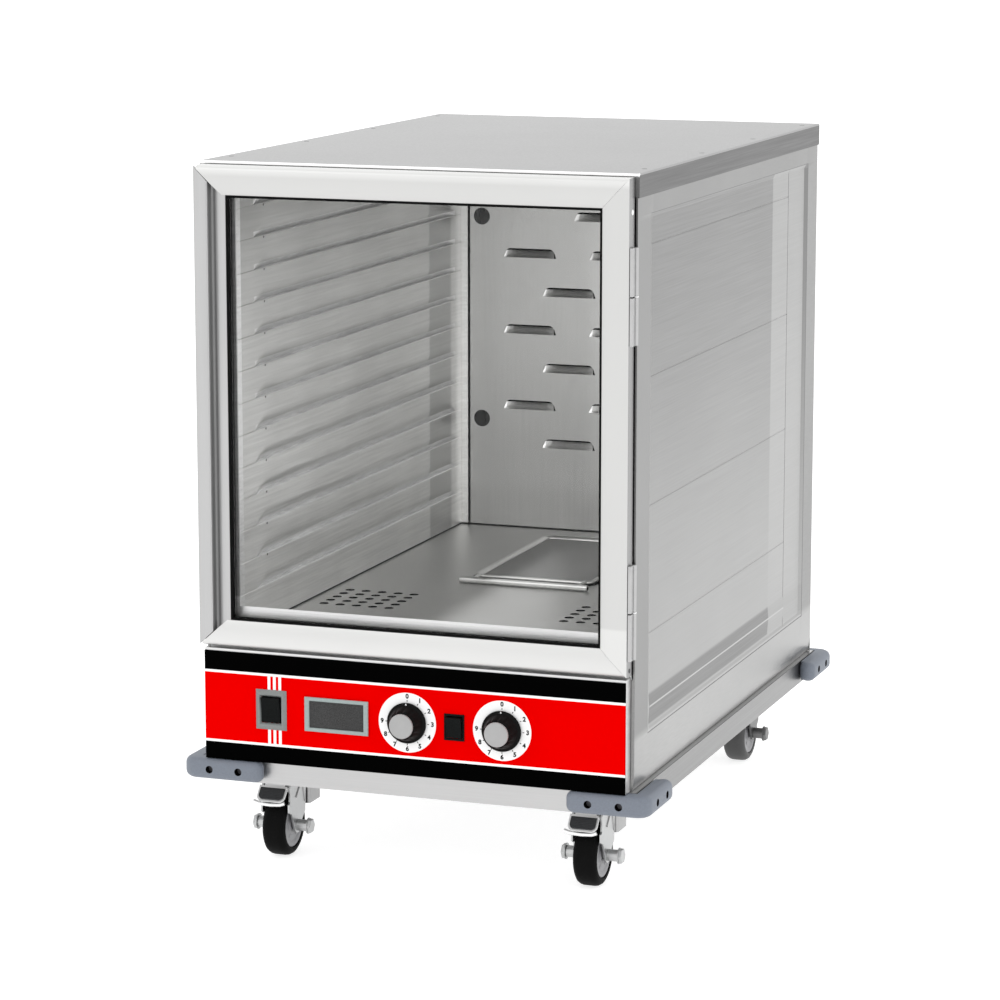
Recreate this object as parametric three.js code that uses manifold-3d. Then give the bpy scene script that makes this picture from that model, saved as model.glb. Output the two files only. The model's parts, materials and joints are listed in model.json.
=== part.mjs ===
// Heated proofing cabinet, half height, on four swivel casters.
// Millimetres. x runs across the front, y from the front to the back, z up from the floor.
import * as THREE from "three";
import { mergeVertices } from "three/addons/utils/BufferGeometryUtils.js";
import Module from "manifold-3d";

const wasm = await Module();
wasm.setup();

// Driving dimensions.
const GAP = 0.3;
const SHEET = 1.5;
const HALF_WIDTH = 265;
const DEPTH = 782;
const TOP = 839;
const LID_HEIGHT = 27.4;
const LID_OVERHANG = 1.5;

const BASE_BOTTOM = 103.5;
const BASE_TOP = 132.7;
const BASE_OVERHANG = 4;
const BASE_WALL = 2;
const GUSSET = 84;
const GUSSET_THICK = 2.5;
const BODY_BOTTOM = BASE_TOP + GAP;

const FIELD = { front: 54, back: 722, bottom: 158, top: 796, depth: 2.5 };

const DOOR_HALF_WIDTH = 262.2;
const DOOR_BOTTOM = 270;
const DOOR_TOP = 835;
const DOOR_FRONT = -22;
const DOOR_BACK = -3;
const DOOR_BAND = 15;
const DOOR_STILE = 35;
const DOOR_STEP = 10;
const GLASS_FRONT = -8.6;
const GLASS_BACK = -4.8;
const GLASS_REACH = 8;
const BEAD_SEAT = 4;
const PULL = { depth: 9, front: -18.5, back: -9 };
const SEAL = { inset: 6, reach: 20 };
const HINGE_X = 266;
const HINGE_Y = -8;
const HINGE_MIDDLES = [344, 703];
const HINGE_HALF = 55;
const HINGE_BARREL = 3.8;
const HINGE_PIN = 2;
const HINGE_PIN_REACH = 29;

const CAVITY_HALF = 222.5;
const LEDGE = 10.5;
const LEDGE_COUNT = 13;
const LEDGE_PITCH = 38.1;
const LEDGE_TOP = 783.5;
const LEDGE_RISE = 17;
const FLOOR_TOP = 281;
const CEILING = 803;
const SILL_TOP = 315.5;
const RACK_BACK = 752;
const DUCT_FRONT = 754;
const DUCT_HALF = 218;
const VENTS = { halfHeight: 5.5, half: 33, middleHalf: 26, topHalf: 62, rows: 3, pitch: 103.4 };
const VENT_COLUMNS = [
  [-124.4, 657],
  [124.4, 657],
  [-68.6, 605.5],
  [68.6, 605.5],
];
const TOP_VENT = 708.5;
const DUCT_HOLES = { x: 193.2, heights: [705, 429], radius: 11.5 };
const PERFORATION = { count: 5, pitch: 21.4, x: 112.5, y: 198.5, radius: 5.2 };
const RACK_SHEET = 2;

const PANEL_FRONT = -19.5;
const PANEL_BOTTOM = 136.5;
const PANEL_TOP = 263.8;
const BOX_TOP = 267;
const BOX_HALF_WIDTH = 260.6;
const BOX_FRONT = PANEL_FRONT + 1.2;
const POWER = { x: -175.5, z: 198, half: [19.5, 24], window: [12.4, 16.8], rocker: [11.8, 15], proud: 4 };
const MODE = { x: 53.5, z: 195.7, half: [12.5, 15.8], window: [10.2, 13.6], rocker: [9.6, 12], proud: 1.5 };
const DISPLAY = { x: -93, z: 197, half: [40, 20.5], window: [34.5, 16.5], proud: 2.5, lens: 1.5 };
const WINDOW_PLAY = 0.6;
const DIALS = [["heat", -4.7, 196.5], ["humidity", 111.9, 196.5]];
const KNOB_RADIUS = 24;
const KNOB_FRONT = -38;
const KNOB_CAP_FRONT = -41.5;
const KNOB_CAP_RADIUS = 14.5;
const KNOB_NOTCHES = 10;
const SHAFT_RADIUS = 3.5;
const SHAFT_HOLE = 5;
const ROCKER_TILT = THREE.MathUtils.degToRad(7);

const PAN = { half: 80, front: 405, back: 690, depth: 60, rim: 5, lip: 6, wall: 1.5 };
const PAN_COVER = { top: 283, leg: 6 };
const HANDLE = { y: 373, radius: 4, half: 85, arm: 70 };
const AIR_HEATER = { x: -205, pitch: 24, runs: 5, front: 150, back: 330, z: 236, radius: 4.5 };
const WATER_HEATER = { half: 62, front: 425, back: 668, thick: 8, legX: 50, legY: [440, 650] };
const FAN = { x: 165, y: 620, motorRadius: 34, motorTop: 184, shaftRadius: 4, shaftTop: 214 };
const FAN_WHEEL = { low: 188, radius: 54, bossRadius: 10, bossHeight: 22, blades: 10 };
const INLET = { left: -185, right: -125, bottom: 175, top: 215, proud: 14, rim: 16, socket: 4 };

const BUMPER = { arm: 101.3, thick: 21, bottom: 107.5, height: 25, holes: [36, 73], screw: 4.6, corner: 17 };
const STEM_X = 196;
const STEM_FRONT = 78;
const STEM_BACK = 704;
const TRAIL = 17;
const WHEEL_RADIUS = 37.5;
const TYRE_INNER = 27;
const TREAD = 29;
const HUB_BORE = 5.6;
const HUB_HALF = 13.5;
const AXLE_RADIUS = 5;
const FORK_TOP = 91.7;
const FORK_CROWN = 86;
const FORK_HALF = 19;
const FORK_SHEET = 2.7;
const SPRING_HOUSING = { front: 22, back: 56, bottom: 54, top: 90 };
const AXLE_BOSSES = [
  [7, 18, 34],
  [10, 33.5, 37.3],
];
const PLATE_BOTTOM = 92;
const PLATE_HALF = 34;
const PLATE_THICK = 3;
const BEARING_RADIUS = 20;
const PEDAL_HALF = 16;

// ---- Helpers: closed solids from three.js geometries, joined and cut with manifold-3d.

function solid(geometry) {
  const bare = geometry.index ? geometry.toNonIndexed() : geometry;
  for (const name of Object.keys(bare.attributes)) {
    if (name !== "position") bare.deleteAttribute(name);
  }
  const merged = mergeVertices(bare, 1e-4);
  return new wasm.Manifold(
    new wasm.Mesh({
      numProp: 3,
      vertProperties: merged.attributes.position.array,
      triVerts: new Uint32Array(merged.index.array),
    }),
  );
}

function geometryOf(shape) {
  const made = shape.getMesh();
  const geometry = new THREE.BufferGeometry();
  geometry.setAttribute("position", new THREE.BufferAttribute(made.vertProperties, 3));
  geometry.setIndex(new THREE.BufferAttribute(made.triVerts, 1));
  geometry.computeVertexNormals();
  return geometry;
}

function join(...shapes) {
  return shapes.reduce((all, shape) => all.add(shape));
}

function cut(shape, ...tools) {
  return tools.reduce((left, tool) => left.subtract(tool), shape);
}

function box(x0, x1, y0, y1, z0, z1) {
  const geometry = new THREE.BoxGeometry(x1 - x0, y1 - y0, z1 - z0);
  geometry.translate((x0 + x1) / 2, (y0 + y1) / 2, (z0 + z1) / 2);
  return solid(geometry);
}

// A round bar along one axis ("x", "y" or "z") from one place to another on it.
function bar(axis, radius, from, to, middle, sides = 16) {
  const geometry = new THREE.CylinderGeometry(radius, radius, to - from, sides);
  geometry.translate(0, (from + to) / 2, 0);
  if (axis === "x") geometry.rotateZ(-Math.PI / 2);
  if (axis === "z") geometry.rotateX(Math.PI / 2);
  const [a, b] = middle;
  if (axis === "x") geometry.translate(0, a, b);
  if (axis === "y") geometry.translate(a, 0, b);
  if (axis === "z") geometry.translate(a, b, 0);
  return solid(geometry);
}

// A body turned round the axis "x", "y" or "z"; the outline holds [radius, place on the axis].
function turned(axis, outline, segments) {
  const points = outline.map(([radius, along]) => new THREE.Vector2(radius, along));
  const geometry = new THREE.LatheGeometry(points, segments);
  if (axis === "x") geometry.rotateZ(-Math.PI / 2);
  if (axis === "z") geometry.rotateX(Math.PI / 2);
  const made = solid(geometry);
  return made.volume() < 0 ? solid(flipped(geometry)) : made;
}

function flipped(geometry) {
  const copy = geometry.clone();
  const order = copy.index.array;
  for (let i = 0; i < order.length; i += 3) {
    [order[i + 1], order[i + 2]] = [order[i + 2], order[i + 1]];
  }
  return copy;
}

function shapeOf(points) {
  return new THREE.Shape(points.map(([a, b]) => new THREE.Vector2(a, b)));
}

// A section drawn in the (y, z) plane and pushed along x.
function sectionAlongX(points, from, to) {
  const geometry = new THREE.ExtrudeGeometry(shapeOf(points), { depth: to - from, bevelEnabled: false });
  geometry.applyMatrix4(new THREE.Matrix4().set(0, 0, 1, from, 1, 0, 0, 0, 0, 1, 0, 0, 0, 0, 0, 1));
  return solid(geometry);
}

// A section drawn in the (z, x) plane and pushed along y.
function sectionAlongY(points, from, to) {
  const turnedPoints = points.map(([x, z]) => [z, x]);
  const geometry = new THREE.ExtrudeGeometry(shapeOf(turnedPoints), { depth: to - from, bevelEnabled: false });
  geometry.applyMatrix4(new THREE.Matrix4().set(0, 1, 0, 0, 0, 0, 1, from, 1, 0, 0, 0, 0, 0, 0, 1));
  return solid(geometry);
}

function tube(points, radius, steps, sides = 8) {
  const path = new THREE.CatmullRomCurve3(points.map((p) => new THREE.Vector3(...p)));
  const section = new THREE.Shape();
  for (let i = 0; i < sides; i++) {
    const angle = (2 * Math.PI * i) / sides;
    const x = radius * Math.cos(angle);
    const y = radius * Math.sin(angle);
    if (i === 0) section.moveTo(x, y);
    else section.lineTo(x, y);
  }
  return solid(new THREE.ExtrudeGeometry(section, { steps, extrudePath: path, bevelEnabled: false }));
}

const METAL = { brushed: [0xb9bcbe, 0.35, 1], zinc: [0xc9ccce, 0.3, 1], frame: [0xe2e2e0, 0.4, 0.8] };
const PLAIN = {
  black: [0x111111, 0.5, 0],
  rubber: [0x1a1a1a, 0.85, 0],
  bumper: [0x8d949e, 0.6, 0],
  red: [0xe00000, 0.35, 0],
  grey: [0x9a9c9c, 0.5, 0],
  smoke: [0x3c4246, 0.2, 0],
};

function material([color, roughness, metalness]) {
  return new THREE.MeshStandardMaterial({ color, roughness, metalness });
}

function glassMaterial() {
  return new THREE.MeshStandardMaterial({
    color: 0xdfe6e6,
    roughness: 0.05,
    metalness: 0,
    transparent: true,
    opacity: 0.25,
  });
}

function piece(group, name, shape, finish) {
  const mesh = new THREE.Mesh(geometryOf(shape), finish);
  mesh.name = name;
  group.add(mesh);
  return mesh;
}

// ---- Base and outer body.

function baseFrame() {
  const half = HALF_WIDTH + BASE_OVERHANG;
  const front = -BASE_OVERHANG;
  const back = DEPTH + BASE_OVERHANG;
  const deck = BASE_TOP - BASE_WALL;
  const shell = cut(
    box(-half, half, front, back, BASE_BOTTOM, BASE_TOP),
    box(-half + BASE_WALL, half - BASE_WALL, front + BASE_WALL, back - BASE_WALL, BASE_BOTTOM - 1, deck),
  );
  const reach = STEM_FRONT + GUSSET / 2;
  const ends = [
    [front + 1, front + 1 + reach],
    [back - 1 - reach, back - 1],
  ];
  const gussets = [];
  for (const side of [-1, 1]) {
    for (const [y0, y1] of ends) {
      const inner = side * (STEM_X - GUSSET / 2);
      const outer = side * (half - 1);
      const across = [Math.min(inner, outer), Math.max(inner, outer)];
      gussets.push(box(...across, y0, y1, BASE_BOTTOM, BASE_BOTTOM + GUSSET_THICK));
    }
  }
  return join(shell, ...gussets);
}

function sidePanel(side) {
  const inner = HALF_WIDTH - SHEET - FIELD.depth;
  const place = (a, b) => [Math.min(side * a, side * b), Math.max(side * a, side * b)];
  const top = TOP - SHEET - GAP;
  const slab = box(...place(inner, HALF_WIDTH), 0, DEPTH - SHEET - GAP, BODY_BOTTOM, top);
  const field = [FIELD.front, FIELD.back, FIELD.bottom, FIELD.top];
  const recess = box(...place(HALF_WIDTH - FIELD.depth, HALF_WIDTH + 1), ...field);
  const behind = box(...place(inner - 1, inner + FIELD.depth), -1, DEPTH, BODY_BOTTOM - 1, TOP);
  const kept = box(
    ...place(inner - 2, inner + FIELD.depth + 1),
    FIELD.front - SHEET,
    FIELD.back + SHEET,
    FIELD.bottom - SHEET,
    FIELD.top + SHEET,
  );
  return cut(slab, recess, cut(behind, kept));
}

function lid() {
  const half = HALF_WIDTH + LID_OVERHANG;
  const back = DEPTH + LID_OVERHANG;
  const bottom = TOP - LID_HEIGHT;
  return cut(
    box(-half, half, 0, back, bottom, TOP),
    box(-HALF_WIDTH - GAP, HALF_WIDTH + GAP, -1, DEPTH + GAP, bottom - 1, TOP - SHEET),
  );
}

function frontFrame() {
  const half = HALF_WIDTH - SHEET - GAP;
  return cut(
    box(-half, half, 0, SHEET, BOX_TOP - 3, TOP - SHEET - GAP),
    box(-CAVITY_HALF, CAVITY_HALF, -1, SHEET + 1, SILL_TOP, CEILING),
  );
}

// ---- Inside.

function rackOutline() {
  const low = FLOOR_TOP + GAP;
  const high = CEILING - GAP;
  const inner = [[CAVITY_HALF, high]];
  for (let i = 0; i < LEDGE_COUNT; i++) {
    const z = LEDGE_TOP - i * LEDGE_PITCH;
    inner.push([CAVITY_HALF, z + LEDGE_RISE], [CAVITY_HALF + LEDGE, z], [CAVITY_HALF, z]);
  }
  inner.push([CAVITY_HALF, low]);
  const last = inner.length - 1;
  const outer = inner.map(([x, z], i) => [x + RACK_SHEET, i === 0 || i === last ? z : z - SHEET]);
  return [...inner, ...outer.reverse()];
}

function rack(side) {
  const outline = rackOutline();
  const section = side > 0 ? outline : outline.map(([x, z]) => [-x, z]).reverse();
  return sectionAlongY(section, SHEET + GAP, RACK_BACK);
}

function innerFloor() {
  const half = HALF_WIDTH - SHEET - FIELD.depth - GAP;
  const through = [FLOOR_TOP - 2 * SHEET, FLOOR_TOP + SHEET];
  const { count, pitch, x, y, radius } = PERFORATION;
  const holes = [];
  for (const side of [-1, 1]) {
    for (let column = 0; column < count; column++) {
      for (let row = 0; row < count; row++) {
        const middle = [side * (x + pitch * column), y + pitch * row];
        holes.push(bar("z", radius, ...through, middle, 6));
      }
    }
  }
  const wellHalf = PAN.half - PAN.lip;
  const well = box(-wellHalf, wellHalf, PAN.front + PAN.lip, PAN.back - PAN.lip, ...through);
  const sheet = box(-half, half, SHEET + GAP, DUCT_FRONT - 1, FLOOR_TOP - SHEET, FLOOR_TOP);
  return cut(sheet, well, ...holes);
}

function ductPanel() {
  const through = [DUCT_FRONT - SHEET, DUCT_FRONT + 2 * SHEET];
  const vents = [];
  const vent = (x, z, half) => {
    vents.push(box(x - half, x + half, ...through, z - VENTS.halfHeight, z + VENTS.halfHeight));
  };
  for (let row = 0; row < VENTS.rows; row++) {
    for (const [x, top] of VENT_COLUMNS) vent(x, top - VENTS.pitch * row, VENTS.half);
    vent(0, VENT_COLUMNS[0][1] - VENTS.pitch * row, VENTS.middleHalf);
  }
  vent(0, TOP_VENT, VENTS.topHalf);
  for (const side of [-1, 1]) {
    for (const z of DUCT_HOLES.heights) {
      vents.push(bar("y", DUCT_HOLES.radius, ...through, [side * DUCT_HOLES.x, z], 12));
    }
  }
  const sheet = box(-DUCT_HALF, DUCT_HALF, DUCT_FRONT, DUCT_FRONT + SHEET, FLOOR_TOP + 2, CEILING - GAP);
  return cut(sheet, ...vents);
}

// A block inside the pan's outline, drawn in by inset on all four sides.
function panBlock(inset, low, high) {
  return box(-PAN.half + inset, PAN.half - inset, PAN.front + inset, PAN.back - inset, low, high);
}

function waterPan() {
  const rimTop = FLOOR_TOP + GAP + PAN.rim;
  const bottom = FLOOR_TOP - PAN.depth;
  const inset = PAN.lip + 1;
  const shell = join(panBlock(0, FLOOR_TOP + GAP, rimTop), panBlock(inset, bottom, rimTop - 1));
  const room = panBlock(inset + PAN.wall, bottom + PAN.wall, rimTop + 1);
  const handleZ = FLOOR_TOP + GAP + HANDLE.radius;
  const handle = bar("x", HANDLE.radius, -HANDLE.half, HANDLE.half, [HANDLE.y, handleZ], 12);
  const arms = [-1, 1].map((side) => {
    const x = side * HANDLE.arm;
    return box(x - 3, x + 3, HANDLE.y, PAN.front + 1, handleZ - 2.5, handleZ + 1);
  });
  return join(cut(shell, room), handle, ...arms);
}

// A plate on four legs that stands inside the pan, just below its rim.
function panCover() {
  const inset = PAN.lip + 1 + PAN.wall + GAP;
  const foot = FLOOR_TOP - PAN.depth + PAN.wall + GAP;
  const under = PAN_COVER.top - SHEET;
  const right = PAN.half - inset;
  const legs = [];
  for (const x of [-right, right - PAN_COVER.leg]) {
    for (const y of [PAN.front + inset, PAN.back - inset - PAN_COVER.leg]) {
      legs.push(box(x, x + PAN_COVER.leg, y, y + PAN_COVER.leg, foot, under + 1));
    }
  }
  return join(panBlock(inset, under, PAN_COVER.top), ...legs);
}

function airHeater() {
  const { x: first, pitch, runs, front, back, z, radius } = AIR_HEATER;
  const path = [];
  for (let i = 0; i < runs; i++) {
    const x = first + pitch * i;
    const ends = i % 2 === 0 ? [front, back] : [back, front];
    path.push([x, ends[0], z], [x, (front + back) / 2, z], [x, ends[1], z]);
  }
  const across = [first - 10, first + pitch * (runs - 1) + 10];
  const feet = [front + 10, back - 20].map((y) => box(...across, y, y + 3, BODY_BOTTOM, z + 1));
  return join(tube(path, radius, 40, 6), ...feet);
}

function waterHeater() {
  const { half, front, back, thick, legX, legY } = WATER_HEATER;
  const top = FLOOR_TOP - PAN.depth - GAP;
  const legs = [];
  for (const x of [-legX, legX]) {
    for (const y of legY) legs.push(box(x - 5, x + 5, y - 5, y + 5, BODY_BOTTOM, top - thick / 2));
  }
  return join(box(-half, half, front, back, top - thick, top), ...legs);
}

function fanMotor() {
  const middle = [FAN.x, FAN.y];
  const foot = FAN.motorRadius + 8;
  return join(
    box(FAN.x - foot, FAN.x + foot, FAN.y - foot, FAN.y + foot, BODY_BOTTOM, BODY_BOTTOM + 3),
    bar("z", FAN.motorRadius, BODY_BOTTOM + 2, FAN.motorTop, middle, 20),
    bar("z", FAN.shaftRadius, FAN.motorTop - 1, FAN.shaftTop, middle, 12),
  );
}

function fanWheel() {
  const bore = FAN.shaftRadius + 0.6;
  const { low, radius, bossRadius, bossHeight } = FAN_WHEEL;
  const outline = [
    [bore, low],
    [radius, low],
    [radius, low + 2],
    [bossRadius, low + 2],
    [bossRadius, low + bossHeight],
    [bore, low + bossHeight],
    [bore, low],
  ];
  const blades = [];
  for (let i = 0; i < FAN_WHEEL.blades; i++) {
    const geometry = new THREE.BoxGeometry(14, 1.6, 28);
    geometry.rotateZ(0.6);
    geometry.translate(45, 0, low + 15);
    geometry.rotateZ((2 * Math.PI * i) / FAN_WHEEL.blades);
    blades.push(solid(geometry));
  }
  return join(turned("z", outline, 24), ...blades);
}

function powerInlet() {
  const { left, right, bottom, top, proud, rim, socket } = INLET;
  return cut(
    box(left, right, DEPTH + GAP, DEPTH + proud, bottom, top),
    box(left + rim, right - rim, DEPTH + socket, DEPTH + proud + 1, bottom + rim / 2, top - rim / 2),
  );
}

// ---- Controls.

function windowIn(part, y0, y1, extra = 0) {
  const [a, b] = part.window;
  return box(part.x - a - extra, part.x + a + extra, y0, y1, part.z - b - extra, part.z + b + extra);
}

// The windows for the two rockers and the holes for the two knob shafts.
function controlOpenings() {
  const holes = DIALS.map(([, x, z]) => bar("y", SHAFT_HOLE, PANEL_FRONT - 1, 0, [x, z], 12));
  return [windowIn(POWER, -30, 0, WINDOW_PLAY), windowIn(MODE, -30, 0, WINDOW_PLAY), ...holes];
}

function controlBox() {
  const half = BOX_HALF_WIDTH;
  const inside = half - SHEET;
  const shell = cut(
    box(-half, half, BOX_FRONT, -GAP, BODY_BOTTOM, BOX_TOP),
    box(-inside, inside, BOX_FRONT + SHEET, 1, BODY_BOTTOM + SHEET, BOX_TOP - SHEET),
  );
  return cut(shell, ...controlOpenings());
}

function overlay() {
  const half = BOX_HALF_WIDTH;
  const sheet = box(-half, half, PANEL_FRONT, BOX_FRONT - GAP, PANEL_BOTTOM, PANEL_TOP);
  return cut(sheet, ...controlOpenings());
}

function bezel(part) {
  const [a, b] = part.half;
  const back = PANEL_FRONT - GAP;
  const block = box(part.x - a, part.x + a, back - part.proud, back, part.z - b, part.z + b);
  return cut(block, windowIn(part, -40, 0));
}

function displayWindow() {
  const [a, b] = DISPLAY.window;
  const back = PANEL_FRONT - GAP;
  const across = [DISPLAY.x - a + GAP, DISPLAY.x + a - GAP];
  return box(...across, back - DISPLAY.lens, back, DISPLAY.z - b + GAP, DISPLAY.z + b - GAP);
}

function rocker(part) {
  const [a, b] = part.rocker;
  const outline = [[-4.5, -b], [-2.8, 0], [-4.5, b], [3, b], [3, -b]];
  return sectionAlongX(outline, -a, a);
}

function knob() {
  const front = KNOB_FRONT - PANEL_FRONT;
  const outline = [
    [0, 8],
    [SHAFT_RADIUS, 8],
    [SHAFT_RADIUS, -1.6],
    [KNOB_RADIUS, -1.6],
    [KNOB_RADIUS, -4],
    [20.5, -5.5],
    [16, front],
    [0, front],
  ];
  const notches = [];
  for (let i = 0; i < KNOB_NOTCHES; i++) {
    const geometry = new THREE.CylinderGeometry(1.6, 1.6, 16, 6);
    geometry.translate(19.8, -14.2, 0);
    geometry.rotateY((2 * Math.PI * (i + 0.25)) / KNOB_NOTCHES);
    notches.push(solid(geometry));
  }
  return cut(turned("y", outline, 20), ...notches);
}

function knobCap() {
  return bar("y", KNOB_CAP_RADIUS, KNOB_CAP_FRONT - PANEL_FRONT, KNOB_FRONT - PANEL_FRONT - GAP, [0, 0], 28);
}

// ---- Door.

// A block inside the door's outline, drawn in by inset on all four edges.
function doorBlock(inset, y0, y1) {
  const half = DOOR_HALF_WIDTH - inset;
  return box(-half, half, y0, y1, DOOR_BOTTOM + inset, DOOR_TOP - inset);
}

function ring(inset0, inset1, y0, y1) {
  return cut(doorBlock(inset0, y0, y1), doorBlock(inset1, y0 - 1, y1 + 1));
}

function doorFrame() {
  const frame = join(
    ring(0, DOOR_BAND, DOOR_FRONT, DOOR_BACK),
    ring(DOOR_BAND - 1, DOOR_STILE, DOOR_FRONT + DOOR_STEP, DOOR_BACK),
  );
  const slot = doorBlock(DOOR_STILE - GLASS_REACH - GAP, GLASS_FRONT - GAP, GLASS_BACK + GAP);
  const edge = -DOOR_HALF_WIDTH;
  const pull = box(edge - 1, edge + PULL.depth, PULL.front, PULL.back, DOOR_BOTTOM - 1, DOOR_TOP + 1);
  const beadSeat = ring(DOOR_STILE - BEAD_SEAT, DOOR_STILE + 1, DOOR_FRONT, GLASS_FRONT);
  return cut(frame, slot, pull, beadSeat);
}

function doorGlass() {
  return doorBlock(DOOR_STILE - GLASS_REACH, GLASS_FRONT, GLASS_BACK);
}

function glazingBead() {
  return ring(DOOR_STILE - BEAD_SEAT + GAP, DOOR_STILE + 1, DOOR_FRONT + DOOR_STEP, GLASS_FRONT - GAP);
}

// ---- Hinges.

function doorLeaf(middle) {
  const low = middle + GAP;
  const high = middle + HINGE_HALF;
  const axis = [HINGE_X, HINGE_Y];
  const plate = box(DOOR_HALF_WIDTH + GAP, HINGE_X, -21, -4.5, low, high);
  const barrel = bar("z", HINGE_BARREL, low, high, axis, 16);
  const bore = bar("z", HINGE_PIN + 0.4, low - 1, middle + HINGE_PIN_REACH + 1, axis, 12);
  return cut(join(plate, barrel), bore);
}

function bodyLeaf(middle) {
  const low = middle - HINGE_HALF;
  const axis = [HINGE_X, HINGE_Y];
  return join(
    bar("z", HINGE_BARREL, low, middle - GAP, axis, 16),
    box(HINGE_X - 3, HINGE_X + 3, HINGE_Y, -GAP, low, middle - GAP),
    bar("z", HINGE_PIN, middle - 1, middle + HINGE_PIN_REACH, axis, 12),
  );
}

// ---- Bumpers and casters.

function bumper() {
  const { arm, thick, height, holes, screw, corner } = BUMPER;
  const round = thick / 2;
  const end = arm - thick - round;
  const outline = new THREE.Shape();
  // The inside corner of the L is at the origin; the arms run along -x and +y.
  outline.moveTo(0, 0);
  outline.lineTo(-end, 0);
  outline.absarc(-end, -round, round, Math.PI / 2, (3 * Math.PI) / 2, false);
  outline.lineTo(thick - corner, -thick);
  outline.absarc(thick - corner, corner - thick, corner, -Math.PI / 2, 0, false);
  outline.lineTo(thick, end);
  outline.absarc(round, end, round, 0, Math.PI, false);
  const geometry = new THREE.ExtrudeGeometry(outline, { depth: height, bevelEnabled: false, curveSegments: 6 });
  const screws = [];
  for (const place of holes) {
    screws.push(bar("y", screw, -thick - 1, -thick + 9, [thick - place, height / 2], 10));
    screws.push(bar("x", screw, thick - 9, thick + 1, [place - thick, height / 2], 10));
  }
  return cut(solid(geometry), ...screws);
}

function casterPlate() {
  const top = BASE_BOTTOM - GAP;
  return join(
    box(-PLATE_HALF, PLATE_HALF, -PLATE_HALF, PLATE_HALF, top - PLATE_THICK, top),
    bar("z", BEARING_RADIUS, PLATE_BOTTOM, top - PLATE_THICK / 2, [0, 0], 20),
  );
}

function fork() {
  const legOutline = [
    [-38, 91],
    [8, 91],
    [6, 50],
    [-TRAIL + 11, 35],
    [-TRAIL + 6, 28],
    [-TRAIL - 6, 28],
    [-TRAIL - 11, 35],
    [-43, 58],
    [-43, 78],
  ];
  const axle = [-TRAIL, WHEEL_RADIUS];
  const inside = FORK_HALF - FORK_SHEET;
  const housing = SPRING_HOUSING;
  const parts = [
    box(-FORK_HALF, FORK_HALF, -24, 24, FORK_CROWN, FORK_TOP),
    box(-FORK_HALF, FORK_HALF, housing.front, housing.back, housing.bottom, housing.top),
    bar("x", AXLE_RADIUS, -inside - 1, inside + 1, axle, 12),
    sectionAlongX(legOutline, inside, FORK_HALF),
    sectionAlongX(legOutline, -FORK_HALF, -inside),
  ];
  for (const [radius, near, far] of AXLE_BOSSES) {
    parts.push(bar("x", radius, near, far, axle, 12));
    parts.push(bar("x", radius, -far, -near, axle, 12));
  }
  return join(...parts);
}

function tyre() {
  const half = TREAD / 2;
  const r = WHEEL_RADIUS;
  const outline = [
    [TYRE_INNER, -half],
    [r - 4, -half],
    [r, -half + 5],
    [r, half - 5],
    [r - 4, half],
    [TYRE_INNER, half],
    [TYRE_INNER, -half],
  ];
  return turned("x", outline, 22);
}

function hub() {
  const rim = TYRE_INNER - GAP;
  const outline = [
    [HUB_BORE, -HUB_HALF],
    [rim, -HUB_HALF],
    [rim, HUB_HALF],
    [HUB_BORE, HUB_HALF],
    [HUB_BORE, -HUB_HALF],
  ];
  return turned("x", outline, 20);
}

function pedal() {
  const outline = [[-26, 84], [-26, 90], [-36, 95], [-52, 76], [-58, 70], [-58, 67], [-50, 70], [-36, 86]];
  return sectionAlongX(outline, -PEDAL_HALF, PEDAL_HALF);
}

// ---- Assembly.

const FRONT_MOST = KNOB_CAP_FRONT;
const BACK_MOST = DEPTH + BASE_OVERHANG + GAP + BUMPER.thick;
const cabinet = new THREE.Group();
cabinet.position.y = -(FRONT_MOST + BACK_MOST) / 2;

function buildBody() {
  const body = new THREE.Group();
  cabinet.add(body);
  piece(body, "base_frame", baseFrame(), material(METAL.brushed));
  piece(body, "left_side_panel", sidePanel(-1), material(METAL.brushed));
  piece(body, "right_side_panel", sidePanel(1), material(METAL.brushed));
  const back = box(-HALF_WIDTH, HALF_WIDTH, DEPTH - SHEET, DEPTH, BODY_BOTTOM, TOP - SHEET - GAP);
  piece(body, "back_panel", back, material(METAL.brushed));
  piece(body, "lid", lid(), material(METAL.brushed));
  piece(body, "front_frame", frontFrame(), material(METAL.brushed));
  piece(body, "left_rack", rack(-1), material(METAL.brushed));
  piece(body, "right_rack", rack(1), material(METAL.brushed));
  piece(body, "inner_floor", innerFloor(), material(METAL.brushed));
  const inner = HALF_WIDTH - SHEET - FIELD.depth - GAP;
  const ceiling = box(-inner, inner, SHEET + GAP, DEPTH - SHEET - GAP, CEILING, CEILING + SHEET);
  piece(body, "inner_ceiling", ceiling, material(METAL.brushed));
  piece(body, "rear_duct_panel", ductPanel(), material(METAL.brushed));
  piece(body, "water_pan", waterPan(), material(METAL.brushed));
  piece(body, "pan_cover", panCover(), material(METAL.brushed));
  piece(body, "air_heater", airHeater(), material(METAL.zinc));
  piece(body, "water_heater", waterHeater(), material(METAL.zinc));
  piece(body, "fan_motor", fanMotor(), material(PLAIN.black));
  const fan = piece(body, "fan_wheel", fanWheel(), material(METAL.zinc));
  fan.position.set(FAN.x, FAN.y, 0);
  piece(body, "power_inlet", powerInlet(), material(PLAIN.black));
}

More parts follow.
